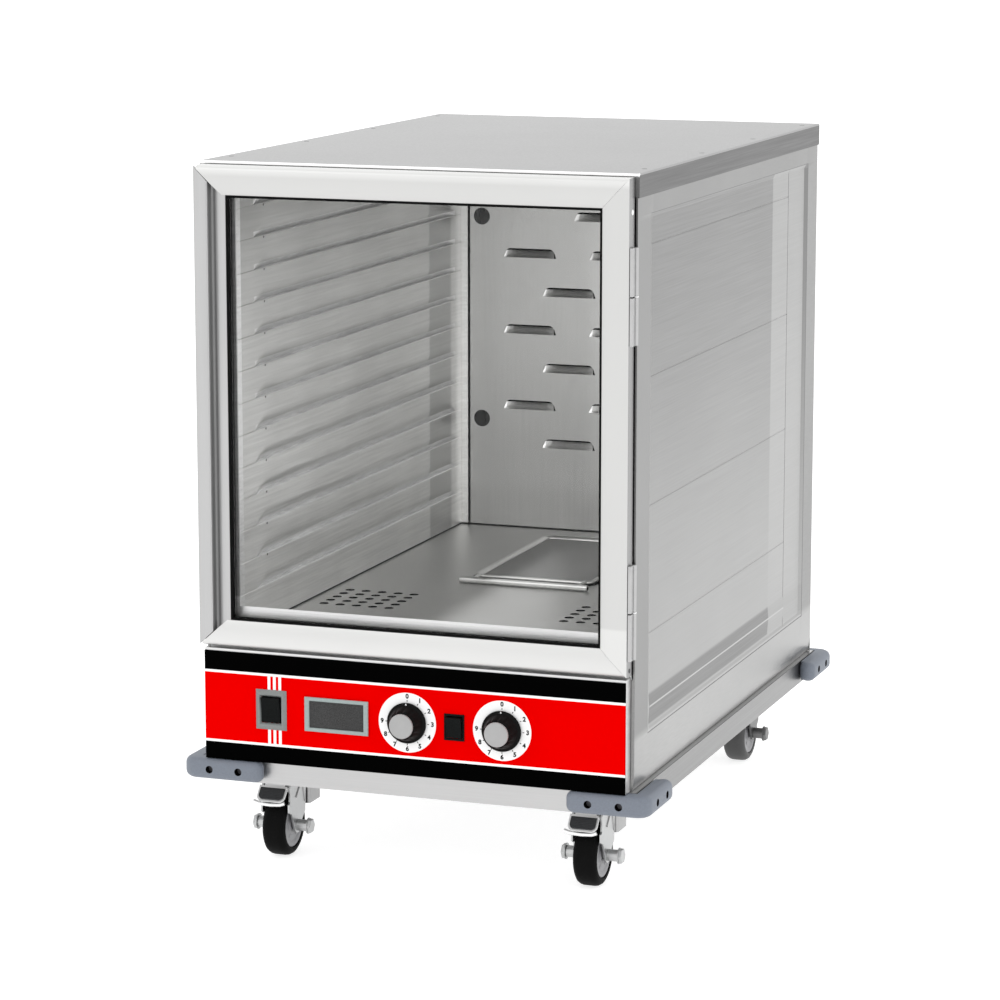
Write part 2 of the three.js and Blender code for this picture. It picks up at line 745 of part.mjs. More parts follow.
function buildControls() {
  const controls = new THREE.Group();
  cabinet.add(controls);
  piece(controls, "control_box", controlBox(), material(METAL.brushed));
  piece(controls, "panel_overlay", overlay(), material(PLAIN.red));
  piece(controls, "power_bezel", bezel(POWER), material(PLAIN.grey));
  piece(controls, "mode_bezel", bezel(MODE), material(PLAIN.black));
  piece(controls, "display_bezel", bezel(DISPLAY), material(PLAIN.grey));
  piece(controls, "display_window", displayWindow(), material(PLAIN.smoke));
  const rockers = { power_rocker: POWER, mode_rocker: MODE };
  for (const [name, part] of Object.entries(rockers)) {
    const mesh = piece(controls, name, rocker(part), material(PLAIN.black));
    mesh.position.set(part.x, PANEL_FRONT, part.z);
    mesh.rotation.x = -ROCKER_TILT;
  }
  for (const [name, dialX, dialZ] of DIALS) {
    const dial = new THREE.Group();
    dial.position.set(dialX, PANEL_FRONT, dialZ);
    controls.add(dial);
    piece(dial, name + "_knob", knob(), material(PLAIN.black));
    piece(dial, name + "_knob_cap", knobCap(), material(METAL.zinc));
  }
}

function buildDoor() {
  const door = new THREE.Group();
  cabinet.add(door);
  piece(door, "door_frame", doorFrame(), material(METAL.frame));
  piece(door, "door_glass", doorGlass(), glassMaterial());
  piece(door, "glazing_bead", glazingBead(), material(PLAIN.rubber));
  piece(door, "door_seal", ring(SEAL.inset, SEAL.reach, DOOR_BACK + GAP, -GAP), material(PLAIN.rubber));
  const names = ["lower", "upper"];
  HINGE_MIDDLES.forEach((middle, i) => {
    piece(door, names[i] + "_hinge_door_leaf", doorLeaf(middle), material(METAL.zinc));
    piece(cabinet, names[i] + "_hinge_body_leaf", bodyLeaf(middle), material(METAL.zinc));
  });
}

function buildBumpers() {
  const halfX = HALF_WIDTH + BASE_OVERHANG + GAP;
  const front = -BASE_OVERHANG - GAP;
  const back = DEPTH + BASE_OVERHANG + GAP;
  const corners = [
    ["bumper_front_right", halfX, front, 0],
    ["bumper_back_right", halfX, back, 1],
    ["bumper_back_left", -halfX, back, 2],
    ["bumper_front_left", -halfX, front, 3],
  ];
  for (const [name, x, y, quarter] of corners) {
    const mesh = piece(cabinet, name, bumper(), material(PLAIN.bumper));
    mesh.position.set(x, y, BUMPER.bottom);
    mesh.rotation.z = (quarter * Math.PI) / 2;
  }
}

function buildCasters() {
  for (const [depthName, y] of [["front", STEM_FRONT], ["back", STEM_BACK]]) {
    for (const [sideName, x] of [["left", -STEM_X], ["right", STEM_X]]) {
      const end = depthName + "_" + sideName;
      const caster = new THREE.Group();
      caster.position.set(x, y, 0);
      cabinet.add(caster);
      piece(caster, "caster_plate_" + end, casterPlate(), material(METAL.zinc));
      piece(caster, "caster_fork_" + end, fork(), material(METAL.zinc));
      const tread = piece(caster, "caster_tyre_" + end, tyre(), material(PLAIN.rubber));
      tread.position.set(0, -TRAIL, WHEEL_RADIUS);
      const wheel = piece(caster, "caster_hub_" + end, hub(), material(PLAIN.grey));
      wheel.position.set(0, -TRAIL, WHEEL_RADIUS);
      if (depthName === "front") piece(caster, "brake_pedal_" + sideName, pedal(), material(PLAIN.black));
    }
  }
}

buildBody();
buildControls();
buildDoor();
buildBumpers();
buildCasters();

export default cabinet;
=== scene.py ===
"""Looks of a heated proofing cabinet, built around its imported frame.

Shapes are drawn in millimetres in the cabinet's own frame: x across, y back from the front of the body and
z up from the floor. Form.piece turns them into metres in the row frame and fastens them to a body."""

import json
import math
from types import SimpleNamespace

import bmesh
import bpy
from mathutils import Matrix, Vector


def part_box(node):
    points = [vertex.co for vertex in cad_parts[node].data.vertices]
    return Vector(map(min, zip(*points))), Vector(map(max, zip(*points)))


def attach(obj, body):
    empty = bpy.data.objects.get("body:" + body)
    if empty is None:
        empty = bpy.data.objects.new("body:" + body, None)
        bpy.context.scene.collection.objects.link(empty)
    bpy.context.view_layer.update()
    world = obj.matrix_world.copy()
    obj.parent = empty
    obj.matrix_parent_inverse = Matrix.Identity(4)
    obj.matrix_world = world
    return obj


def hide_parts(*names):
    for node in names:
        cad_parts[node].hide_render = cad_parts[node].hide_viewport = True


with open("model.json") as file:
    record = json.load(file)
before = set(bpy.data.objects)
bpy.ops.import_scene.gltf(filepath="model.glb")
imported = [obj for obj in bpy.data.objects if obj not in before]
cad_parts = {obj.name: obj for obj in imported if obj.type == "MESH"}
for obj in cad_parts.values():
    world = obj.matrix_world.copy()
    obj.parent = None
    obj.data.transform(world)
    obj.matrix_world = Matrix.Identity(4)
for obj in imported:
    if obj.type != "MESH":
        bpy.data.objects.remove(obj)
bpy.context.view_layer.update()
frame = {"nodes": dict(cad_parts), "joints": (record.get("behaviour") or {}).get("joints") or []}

MM = 0.001
BODY_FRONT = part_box("front_frame")[0].y / MM
JOINTS = {joint["name"]: joint for joint in frame["joints"]}


def span(node):
    """The box of a CAD node in the cabinet's frame."""
    low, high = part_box(node)
    return SimpleNamespace(
        left=low.x / MM,
        right=high.x / MM,
        front=low.y / MM - BODY_FRONT,
        back=high.y / MM - BODY_FRONT,
        bottom=low.z / MM,
        top=high.z / MM,
    )


def pivot(joint):
    """Where a joint's axis passes, in the cabinet's frame."""
    x, y, z = JOINTS[joint]["pos_m"]
    return Vector((x / MM, y / MM - BODY_FRONT, z / MM))


# ---- Materials.


class Recipe:
    """The shading nodes of one material."""

    def __init__(self, tree):
        self.tree = tree

    def fill(self, node, inputs):
        """Links the inputs whose values are sockets and sets the others."""
        for name, value in inputs.items():
            if isinstance(value, bpy.types.NodeSocket):
                self.tree.links.new(value, node.inputs[name])
            else:
                node.inputs[name].default_value = value

    def add(self, kind, output, inputs, **settings):
        """Adds a node and gives one of its outputs."""
        node = self.tree.nodes.new("ShaderNode" + kind)
        for name, value in settings.items():
            setattr(node, name, value)
        self.fill(node, inputs)
        return node.outputs[output]

    def noise(self, ripples, detail=3.0, roughness=0.6):
        """Noise in object space, with its own number of ripples per metre along each axis."""
        place = self.add("TexCoord", "Object", {})
        stretched = self.add("Mapping", "Vector", {"Vector": place, "Scale": triple(ripples)})
        inputs = {"Vector": stretched, "Scale": 1.0, "Detail": detail, "Roughness": roughness}
        return self.add("TexNoise", "Fac", inputs)

    def remap(self, value, low, high, start=0.3, end=0.7):
        """A value between start and end turned into one between low and high."""
        ends = {"From Min": start, "From Max": end, "To Min": low, "To Max": high}
        return self.add("MapRange", "Result", {"Value": value, **ends})

    def scaled(self, colour, factor):
        return self.add("VectorMath", "Vector", {0: colour, "Scale": factor}, operation="SCALE")

    def above(self, axis, place, blur):
        """0 below a place on an axis and 1 above it, blurred over a width; both in the cabinet's frame."""
        along_axis = self.add("SeparateXYZ", axis, {0: self.add("TexCoord", "Object", {})})
        centre = (place + (BODY_FRONT if axis == "Y" else 0)) * MM
        ends = {"From Min": centre - blur * MM / 2, "From Max": centre + blur * MM / 2}
        return self.add("MapRange", "Result", {"Value": along_axis, **ends}, interpolation_type="SMOOTHSTEP")

    def below(self, axis, place, blur):
        return self.remap(self.above(axis, place, blur), 1, 0, 0, 1)

    def all_of(self, share, *others):
        """The product of shares between 0 and 1."""
        for other in others:
            share = self.add("Math", 0, {0: share, 1: other}, operation="MULTIPLY")
        return share

    def blend(self, colour, share, low, high):
        """The colour times a factor that runs from low to high as the share runs from 0 to 1."""
        return self.scaled(colour, self.remap(share, low, high, 0, 1))


def triple(value):
    return value if isinstance(value, tuple) else (value,) * 3


def finish(name, colour, rough, grain, tone=0.06, vary=0.06, bump=0.15, relief=0.05, metal=0, cloud=5,
           specular=None, shade=None):
    """A material whose colour, roughness and bump follow a noise grain and a broad cloudiness; a shade
    function, where given, paints light and shade over the colour.
    """
    made = bpy.data.materials.new(name)
    made.use_nodes = True
    recipe = Recipe(made.node_tree)
    fine = recipe.noise(grain)
    broad = recipe.noise(cloud, 2.0, 0.5)
    coloured = recipe.scaled(triple(colour), recipe.remap(fine, 1 - tone, 1 + tone))
    coloured = recipe.scaled(coloured, recipe.remap(broad, 1 - tone / 2, 1 + tone / 2))
    if shade:
        coloured = shade(recipe, coloured)
    uneven = recipe.remap(fine, rough - vary, rough + vary)
    ripple = recipe.add("Bump", "Normal", {"Strength": bump, "Distance": relief * MM, "Height": fine})
    shader = made.node_tree.nodes["Principled BSDF"]
    recipe.fill(shader, {"Base Color": coloured, "Roughness": uneven, "Metallic": metal, "Normal": ripple})
    if specular is not None:
        shader.inputs["Specular IOR Level"].default_value = specular
    return made


def side_panel_tone(recipe, colour):
    """The side sheet, in painted light: brighter towards its foot, with a pale strip behind and a dark band
    by the bead as painted reflections.
    """
    rise = recipe.above("Z", 475, 650)
    strip = recipe.all_of(rise, recipe.above("Y", REFLECTION_STRIP, 4), recipe.below("Y", FIELD.back - 11, 1))
    colour = recipe.blend(recipe.blend(colour, rise, 1.46, 0.82), strip, 1, 1.6)
    # The dark band by the bead, in front of the pale strip, is a painted reflection.
    across = recipe.all_of(recipe.above("Z", 198.5, 3), recipe.below("Z", 234, 5))
    before = recipe.remap(recipe.above("Y", REFLECTION_STRIP, 3), 1, 0.15, 0, 1)
    behind = recipe.above("Y", span("left_side_panel").front + 58, 2)
    return recipe.blend(colour, recipe.all_of(across, recipe.all_of(before, behind)), 1, 0.5)


def side_margin_tone(recipe, colour):
    """The flat border of the side sheet: brighter along the foot, as painted light."""
    return recipe.blend(colour, recipe.above("Z", 195, 12), 1.6, 1)


def rail_tone(recipe, colour):
    """The base rail: its two side flanges are darkened against its front, as painted shade."""
    edge = span("base_frame").right - 1.5
    colour = recipe.blend(colour, recipe.above("X", edge, 1), 1, 0.55)
    return recipe.blend(colour, recipe.above("X", -edge, 1), 0.55, 1)


def frame_tone(recipe, colour):
    """The front frame: the bright sill runs along its foot, and the rest of its face is darkened as painted
    shade.
    """
    face = recipe.below("Y", span("front_frame").front + 1, 1)
    high = recipe.above("Z", span("door_glass").bottom + 30, 4)
    return recipe.blend(colour, recipe.all_of(face, high), 1, 0.55)


def door_tone(recipe, colour):
    """The door's frame, in painted light: a little brighter along its foot, with a painted highlight along
    its upper edge.
    """
    colour = recipe.blend(colour, recipe.above("Z", DOOR.bottom + 55, 4), 1.14, 1)
    return recipe.blend(colour, recipe.above("Z", DOOR.top - 9, 8), 1, 1.2)


def rack_tone(recipe, colour):
    """The rack walls, in painted light: brighter towards the foot, with a darker upright band near the back
    as a painted reflection.
    """
    box = span("left_rack")
    rise = recipe.above("Z", (box.bottom + box.top) / 2, box.top - box.bottom)
    reflection_band = recipe.all_of(recipe.above("Y", 631, 8), recipe.below("Y", 712, 12))
    return recipe.blend(recipe.blend(colour, reflection_band, 1, 0.68), rise, 1.24, 0.82)


LOOK = {}


def look(name, *values, **more):
    """Keeps a finish under its name: colour, roughness, grain, tone, variation, bump and relief."""
    LOOK[name] = finish(name, *values, **more)


def steel_looks():
    """Brushed stainless sheet in the tones of its parts, with lighter and darker copies for painted
    highlights, reflections and shade.
    """
    look("cabinet_steel", 0.52, 0.34, (3, 3, 700), 0.05, bump=0.25, metal=1)
    side = (0.225, 0.225, 0.223)
    look("side_steel", side, 0.34, (3, 6, 700), bump=0.3, metal=1, shade=side_panel_tone)
    look("side_margin", side, 0.34, (4, 40, 500), 0.12, bump=0.4, metal=1, shade=side_margin_tone)
    # A painted highlight for the bead and the foot of the side sheet's field.
    look("side_highlight_steel", (0.42, 0.42, 0.417), 0.36, (9, 9, 300), 0.05, metal=1)
    # Painted shade, for the side sheet's creases and field edges and for the gap under the lid's front fold.
    look("seam_dark", 0.19, 0.5, (9, 9, 300), 0.08, metal=1)
    # Bright steel for the brake levers, also used as the painted glint along the duct scoops.
    look("seam_bright", 0.85, 0.35, (9, 9, 300), 0.05, metal=1)
    # Painted shade: a darker copy of the lid's steel for its flanges.
    look("flange_steel", 0.115, 0.4, (3, 6, 500), 0.04, bump=0.2, metal=1)
    look("top_steel", 0.335, 0.38, (400, 400, 4), 0.05, bump=0.25, metal=1)
    look("hem_steel", 0.95, 0.32, (4, 60, 200), 0.04, bump=0.2, metal=1)
    look("base_steel", 0.48, 0.36, (4, 4, 500), 0.04, bump=0.2, metal=1, shade=rail_tone)
    # A painted highlight for the rack's ledge lines and the lit front strip of its walls.
    look("painted_highlight_steel", 0.93, 0.35, (6, 60, 400), 0.1, bump=0.5, metal=1)
    look("frame_steel", 0.93, 0.35, (6, 60, 400), 0.1, bump=0.5, metal=1, shade=frame_tone)
    look("box_steel", 0.62, 0.36, (6, 60, 400), bump=0.3, metal=1)
    liner = (0.74, 0.74, 0.73)
    look("liner_steel", liner, 0.38, (90, 7, 300), 0.1, bump=0.4, metal=1, cloud=(4, 9, 5), shade=rack_tone)
    look("duct_steel", (0.56, 0.56, 0.552), 0.45, (260, 5, 8), 0.05, bump=0.3, metal=1)
    rolled = {"grain": (300, 260, 5), "tone": 0.08, "bump": 0.3, "metal": 1, "cloud": (9, 3, 3)}
    look("floor_steel", (0.54, 0.54, 0.532), 0.4, **rolled)
    look("cover_steel", (0.31, 0.31, 0.306), 0.5, **rolled)
    look("pan_steel", (0.66, 0.66, 0.65), 0.34, 90, 0.08, bump=0.3, metal=1)


def fitting_looks():
    """Satin aluminium of the door with copies for painted light and shade, zinc, screws and the other metals.
    """
    look("door_aluminium", (0.55, 0.55, 0.543), 0.42, 6, 0.015, 0.03, 0.05, metal=1, shade=door_tone)
    # Painted light on the rail faces behind the pane and a painted highlight along the top rail's edge.
    look("door_painted_highlight", (0.72, 0.72, 0.71), 0.4, 6, 0.015, 0.03, 0.05, metal=1)
    look("door_pull", 0.45, 0.42, (60, 60, 3), 0.04, 0.03, 0.1, metal=1)
    # Painted shade in the pull stile's cove.
    look("door_cove_shade", 0.27, 0.4, (60, 60, 4), 0.05, 0.03, metal=1)
    # Painted shade on the hinge-side face of the right stile.
    look("door_edge_shade", 0.3, 0.4, (60, 60, 4), 0.05, 0.03, metal=1)
    look("zinc", (0.5, 0.505, 0.505), 0.34, 120, 0.05, 0.05, 0.05, metal=1)
    look("zinc_dull", 0.42, 0.42, 90, 0.05, 0.05, 0.05, metal=1)
    look("zinc_shaded", 0.2, 0.42, 90, 0.05, 0.05, 0.05, metal=1)
    look("hinge_zinc", 0.45, 0.42, 90, 0.05, 0.05, metal=1)
    look("screw", 0.6, 0.3, 300, 0.05, 0.05, 0.2, metal=1)
    look("dark_screw", (0.05, 0.05, 0.055), 0.45, 300, 0.1, 0.05, 0.2, metal=0.6)
    # Near-black steel for the cups behind the duct ports, as painted shade.
    look("port", 0.05, 0.3, (300, 300, 9), 0.2, 0.05, 0.3, metal=1)
    look("heater", (0.45, 0.42, 0.4), 0.4, (200, 200, 60), 0.1, 0.08, 0.2, metal=1)


def plain_looks():
    """Rubber, plastic, print, enamel and glass, and black for painted shade."""
    matt, satin = 0.04, 0.25
    look("rubber", 0.004, 0.6, 400, 0.15, 0.05, 0.3, specular=matt)
    look("tyre", 0.004, 0.55, 260, 0.15, 0.06, 0.35, 0.15, specular=matt)
    look("tyre_grey", 0.045, 0.5, 260, 0.1, 0.06, 0.35, 0.15)
    look("hub", (0.27, 0.27, 0.28), 0.45, 150, vary=0.05, bump=0.2)
    look("bumper", (0.15, 0.17, 0.205), 0.5, 500, 0.08, 0.05, 0.35, 0.1)
    look("knob", 0.006, 0.36, 400, 0.15, 0.05, 0.2, specular=matt)
    look("cap", 0.35, 0.45, (40, 900, 40), 0.05, 0.05, 0.25, metal=0.1, specular=satin)
    look("switch", (0.006, 0.007, 0.007), 0.32, 900, 0.5, 0.05, 0.25, specular=matt)
    look("bezel", (0.2, 0.215, 0.212), 0.42, 500, 0.08, 0.05, 0.25, specular=satin)
    look("display_rim", (0.29, 0.34, 0.335), 0.45, 500, 0.08, 0.05, 0.25, specular=satin)
    look("display", 0.054, 0.35, 900, 0.5, 0.05, 0.2, specular=matt)
    look("pedal", (0.035, 0.036, 0.038), 0.6, 350, 0.15, 0.05, 0.4, 0.15, specular=satin)
    # Black for the walls of holes, slots and pockets, standing in for their shade, and for painted shadows in
    # the duct scoops and round the water pan.
    look("hole", 0.004, 0.8, 200, 0.1, 0.05, 0.1, specular=matt)
    look("print_red", (0.69, 0.0, 0.0), 0.6, 300, 0.015, 0.03, 0.05, specular=0)
    look("print_black", 0.001, 0.6, 300, 0.1, 0.03, 0.05, specular=0)
    look("print_white", 0.84, 0.6, 300, 0.015, 0.03, 0.05, specular=0)
    look("motor", 0.03, 0.5, 200, 0.15, 0.05, 0.3)
    look("pane", (0.02, 0.021, 0.021), 0.05, 3, 0.02, 0.02, 0.02)
    LOOK["pane"].node_tree.nodes["Principled BSDF"].inputs["Alpha"].default_value = 0.1


# ---- Mesh building.


class Form:
    """A mesh drawn in millimetres in the cabinet's frame."""

    def __init__(self):
        self.bm = bmesh.new()

    def face(self, verts, paint=0):
        self.bm.faces.new(verts).material_index = paint

    def loft(self, loops, caps=True, wrap=False, paint=0):
        """Joins loops of points, each with the same count, into one skin."""
        rings = [[self.bm.verts.new(point) for point in loop] for loop in loops]
        if wrap:
            rings.append(rings[0])
        count = len(rings[0])
        for near, far in zip(rings, rings[1:]):
            for i in range(count):
                j = (i + 1) % count
                self.face([near[i], near[j], far[j], far[i]], paint)
        if caps and not wrap:
            self.face(rings[0], paint)
            self.face(rings[-1], paint)
        return self

    def prism(self, axis, outline, start, end, paint=0):
        """An outline in the other two axes, in their order, pushed along one axis."""
        return self.loft([[along(axis, t, p) for p in outline] for t in (start, end)], paint=paint)

    def slab(self, left, right, front, back, bottom, top, paint=0):
        outline = [(left, front), (right, front), (right, back), (left, back)]
        return self.prism("z", outline, bottom, top, paint)

    def lathe(self, axis, profile, centre, sides=48, paint=0, flute=None):
        """A profile of (radius, place along the axis) turned round a line through centre."""
        loops = []
        for radius, place in profile:
            loop = []
            for i in range(sides):
                angle = 2 * math.pi * i / sides
                r = radius * (flute(angle, place) if flute else 1)
                loop.append(along(axis, place, (r * math.cos(angle), r * math.sin(angle)), centre))
            loops.append(loop)
        return self.loft(loops, paint=paint)

    def rod(self, axis, radius, start, end, centre, sides=24, edge=0.0, paint=0):
        """A round bar with its two rims eased by edge."""
        profile = [(radius, start + edge), (radius, end - edge)]
        if edge:
            profile = [(radius - edge, start), *profile, (radius - edge, end)]
        return self.lathe(axis, profile, centre, sides, paint)

    def tube(self, points, radius, sides=16):
        """A round tube along a line of points."""
        loops = []
        normal = None
        for i, point in enumerate(points):
            before, after = points[max(i - 1, 0)], points[min(i + 1, len(points) - 1)]
            heading = (after - before).normalized()
            normal = normal or heading.orthogonal().normalized()
            normal = (normal - heading * normal.dot(heading)).normalized()
            side = heading.cross(normal)
            turns = [2 * math.pi * k / sides for k in range(sides)]
            loops.append([point + radius * (math.cos(a) * normal + math.sin(a) * side) for a in turns])
        return self.loft(loops)

    def relief(self, us, vs, front, back, paint):
        """A sheet over a grid of u and v; front and back give its points, and paint gives its looks."""
        new = self.bm.verts.new
        near, far = ([[new(surface(u, v)) for v in vs] for u in us] for surface in (front, back))
        for grid in (near, far):
            for i in range(len(us) - 1):
                for j in range(len(vs) - 1):
                    look_here = paint((us[i] + us[i + 1]) / 2, (vs[j] + vs[j + 1]) / 2)
                    corners = [grid[i][j], grid[i + 1][j], grid[i + 1][j + 1], grid[i][j + 1]]
                    self.face(corners, look_here)
        rim = [(i, 0) for i in range(len(us))]
        rim += [(len(us) - 1, j) for j in range(1, len(vs))]
        rim += [(i, len(vs) - 1) for i in range(len(us) - 2, -1, -1)]
        rim += [(0, j) for j in range(len(vs) - 2, 0, -1)]
        for (a, b), (c, d) in zip(rim, rim[1:] + rim[:1]):
            self.face([near[a][b], near[c][d], far[c][d], far[a][b]])
        return self

    def cells(self, us, vs, front, back, open_cell, paint, edge):
        """A flat sheet facing -y over a grid of x and z, with open cells and a paint for each cell."""
        known = {}

        def vert(corner, y):
            key = (*corner, y)
            if key not in known:
                known[key] = self.bm.verts.new((us[corner[0]], y, vs[corner[1]]))
            return known[key]

        def middle(i, j):
            return (us[i] + us[i + 1]) / 2, (vs[j] + vs[j + 1]) / 2

        def solid(i, j):
            inside = 0 <= i < len(us) - 1 and 0 <= j < len(vs) - 1
            return inside and not open_cell(*middle(i, j))

        for i in range(len(us) - 1):
            for j in range(len(vs) - 1):
                if not solid(i, j):
                    continue
                corners = [(i, j), (i + 1, j), (i + 1, j + 1), (i, j + 1)]
                self.face([vert(corner, front) for corner in corners], paint(*middle(i, j)))
                self.face([vert(corner, back) for corner in reversed(corners)], paint(*middle(i, j)))
                around = [(i, j - 1), (i + 1, j), (i, j + 1), (i - 1, j)]
                for beside, p, q in zip(around, corners, corners[1:] + corners[:1]):
                    if not solid(*beside):
                        self.face([vert(p, front), vert(p, back), vert(q, back), vert(q, front)], edge)
        return self

    def repaint(self, choose):
        """Gives each face the look that choose picks for its middle; None leaves it as it is."""
        for face in self.bm.faces:
            chosen = choose(face.calc_center_median())
            if chosen is not None:
                face.material_index = chosen

    def moved(self, matrix):
        bmesh.ops.transform(self.bm, matrix=matrix, verts=self.bm.verts)
        return self

    def mesh(self, name):
        bmesh.ops.remove_doubles(self.bm, verts=self.bm.verts, dist=0.001)
        bmesh.ops.dissolve_degenerate(self.bm, edges=self.bm.edges, dist=0.001)
        bmesh.ops.recalc_face_normals(self.bm, faces=self.bm.faces)
        self.moved(Matrix.Translation((0, BODY_FRONT * MM, 0)) @ Matrix.Scale(MM, 4))
        made = bpy.data.meshes.new(name)
        self.bm.to_mesh(made)
        self.bm.free()
        return made

    def piece(self, name, body, looks, slot, nodes=(), bevel=0.0, angle=30, cutters=()):
        """The finished object: on its body, with its materials, and with its edges eased by a bevel."""
        made = placed(name, self.mesh(name))
        for chosen in [looks] if isinstance(looks, str) else looks:
            made.data.materials.append(LOOK[chosen])
        for cutter in cutters:
            carve(made, cutter)
        made.data.shade_smooth()
        made.data.set_sharp_from_angle(angle=math.radians(angle))
        if bevel:
            ease(made, bevel, angle).harden_normals = True
        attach(made, body)
        if nodes:
            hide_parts(*nodes)
        return made


def along(axis, t, pair, centre=(0, 0, 0)):
    """A point at place t on an axis and at pair on the other two, all from a centre."""
    u, v = pair
    point = {"x": (t, u, v), "y": (u, t, v), "z": (u, v, t)}[axis]
    return Vector(point) + Vector(centre)


def placed(name, data):
    """A new object in the scene."""
    made = bpy.data.objects.new(name, data)
    bpy.context.scene.collection.objects.link(made)
    return made


def evaluated_mesh(target):
    """A target's mesh with its modifiers applied, or a curve turned into one."""
    return bpy.data.meshes.new_from_object(target.evaluated_get(bpy.context.evaluated_depsgraph_get()))


def carve(target, cutter):
    """Cuts a form out of an object's mesh for good."""
    tool = placed("cutter", cutter.mesh("cutter"))
    modifier = target.modifiers.new("cut", "BOOLEAN")
    modifier.operation = "DIFFERENCE"
    modifier.solver = "EXACT"
    modifier.object = tool
    made = evaluated_mesh(target)
    target.modifiers.remove(modifier)
    target.data = made
    bpy.data.objects.remove(tool)


def ease(target, width, angle):
    """Rounds the edges that turn by more than an angle."""
    bevel = target.modifiers.new("eased edges", "BEVEL")
    bevel.width = width * MM
    bevel.segments = 2
    bevel.limit_method = "ANGLE"
    bevel.angle_limit = math.radians(angle)
    return bevel


def arc(centre, radius, start, end, steps):
    """Points on an arc, with its angles in degrees."""
    cx, cy = centre
    turns = [math.radians(start + (end - start) * i / steps) for i in range(steps + 1)]
    return [(cx + radius * math.cos(a), cy + radius * math.sin(a)) for a in turns]


def round_box(left, right, low, high, radius, steps=5):
    """A rectangle with rounded corners, anticlockwise."""
    outline = []
    for quarter, (x, y) in enumerate(((right, high), (left, high), (left, low), (right, low))):
        centre = (x - radius if x == right else x + radius, y - radius if y == high else y + radius)
        outline += arc(centre, radius, 90 * quarter, 90 * quarter + 90, steps)
    return outline


def smooth(x, start, end):
    """0 before start and 1 after end, eased."""
    t = min(1.0, max(0.0, (x - start) / (end - start)))
    return t * t * (3 - 2 * t)


def spread(start, end, count):
    return [start + (end - start) * i / (count - 1) for i in range(count)]


def merged(*groups):
    """All places in order, without near repeats."""
    places = []
    for place in sorted(value for group in groups for value in group):
        if not places or place - places[-1] > 0.02:
            places.append(place)
    return places


def keep(node, name, bevel):
    """Gives a CAD node its material and eases its edges."""
    target = frame["nodes"][node]
    target.data.materials.clear()
    target.data.materials.append(LOOK[name])
    target.modifiers.new("weld", "WELD").merge_threshold = 0.00001
    if bevel:
        ease(target, bevel, 35)
    target.modifiers.new("even shading", "WEIGHTED_NORMAL").keep_sharp = True


# ---- Outer sheets.


FIELD = SimpleNamespace(front=50, back=735, bottom=190, top=791, slope=(11, 6), depth=2.5)
CREASES = (755, 604, 455, 306)
CREASE_FRONT, CREASE_BACK = 61, 647
# Where the pale strip of painted reflection on the side sheet begins.
REFLECTION_STRIP = 573
BEAD, BEAD_REACH = 219, 17
GROOVE = 0.9
FOOT_ROLL = 27
# The side sheet's looks: its face, its margin, painted shade along the field's edges and the back groove, and
# a painted highlight along the bead and the field's foot.
FACE, MARGIN, PAINTED_SHADE, PAINTED_HIGHLIGHT = range(4)


def side_panel(side, name):
    """A sheet with a sunk field, shallow folds across it, a bead near its foot and a rolled lower edge."""
    box = span(name)
    outer = max(abs(box.left), abs(box.right))
    slope_y, slope_z = FIELD.slope

    def inset(y, z):
        """How far a place lies inside the field, from its sides and from its top and bottom."""
        return min(y - FIELD.front, FIELD.back - y), min(z - FIELD.bottom, FIELD.top - z)

    def depth(y, z):
        roll = max(0.0, (box.bottom + FOOT_ROLL - z) / FOOT_ROLL)
        sunk = 3.2 * (1 - math.sqrt(max(0.0, 1 - roll * roll)))
        inside_y, inside_z = inset(y, z)
        inside = max(0.0, min(1.0, inside_y / slope_y, inside_z / slope_z))
        sunk += FIELD.depth * inside
        if inside < 1:
            return sunk
        if CREASE_FRONT < y < CREASE_BACK:
            sunk += 0.55 * sum(max(0.0, 1 - abs(z - crease) / GROOVE) for crease in CREASES)
        sunk += max(0.0, 1 - abs(y - CREASE_BACK) / GROOVE)
        if y < CREASE_BACK:
            sunk -= 1.3 * max(0.0, 1 - abs(z - BEAD) / BEAD_REACH)
        return sunk

    def paint(y, z):
        inside_y, inside_z = inset(y, z)
        if min(inside_y, inside_z) < 0:
            return MARGIN
        if inside_y < slope_y or inside_z < slope_z:
            if inside_y < 1.2 or inside_z < 1:
                return PAINTED_SHADE
            return PAINTED_HIGHLIGHT if z < FIELD.bottom + 3 else FACE
        if abs(y - CREASE_BACK) < GROOVE:
            return PAINTED_SHADE
        return PAINTED_HIGHLIGHT if y < CREASE_BACK and abs(z - BEAD) < 1 else FACE

    folds = [crease + shift for crease in CREASES for shift in (-GROOVE, 0, GROOVE)]
    bead = [BEAD + shift for shift in (-BEAD_REACH, -1, 0, 1, BEAD_REACH)]
    edges = [FIELD.bottom + rise for rise in (0, 1, 3, slope_z)]
    edges += [FIELD.top - drop for drop in (slope_z, 1, 0)]
    zs = merged([box.top], spread(box.bottom, box.bottom + FOOT_ROLL, 9), edges, folds, bead)
    sides = [FIELD.front + step for step in (0, 1.2, slope_y)]
    sides += [FIELD.back - step for step in (slope_y, 1.2, 0)]
    groove = [CREASE_BACK + shift for shift in (-GROOVE, 0, GROOVE)]
    ys = merged([box.front, box.back, CREASE_FRONT + 0.3], sides, groove)
    form = Form().relief(
        ys,
        zs,
        lambda y, z: (side * (outer - depth(y, z)), y, z),
        lambda y, z: (side * (outer - 4 - 0.3 * depth(y, z)), y, z),
        paint,
    )
    looks = ["side_steel", "side_margin", "seam_dark", "side_highlight_steel"]
    form.piece(name + "_sheet", "cabinet", looks, "cabinet_steel", [name], angle=12)


SHEET = 1.5
LID_FOLD = 2.2
LID_RIVETS = SimpleNamespace(inset=13.5, depths=(61, 288, 510, 745))


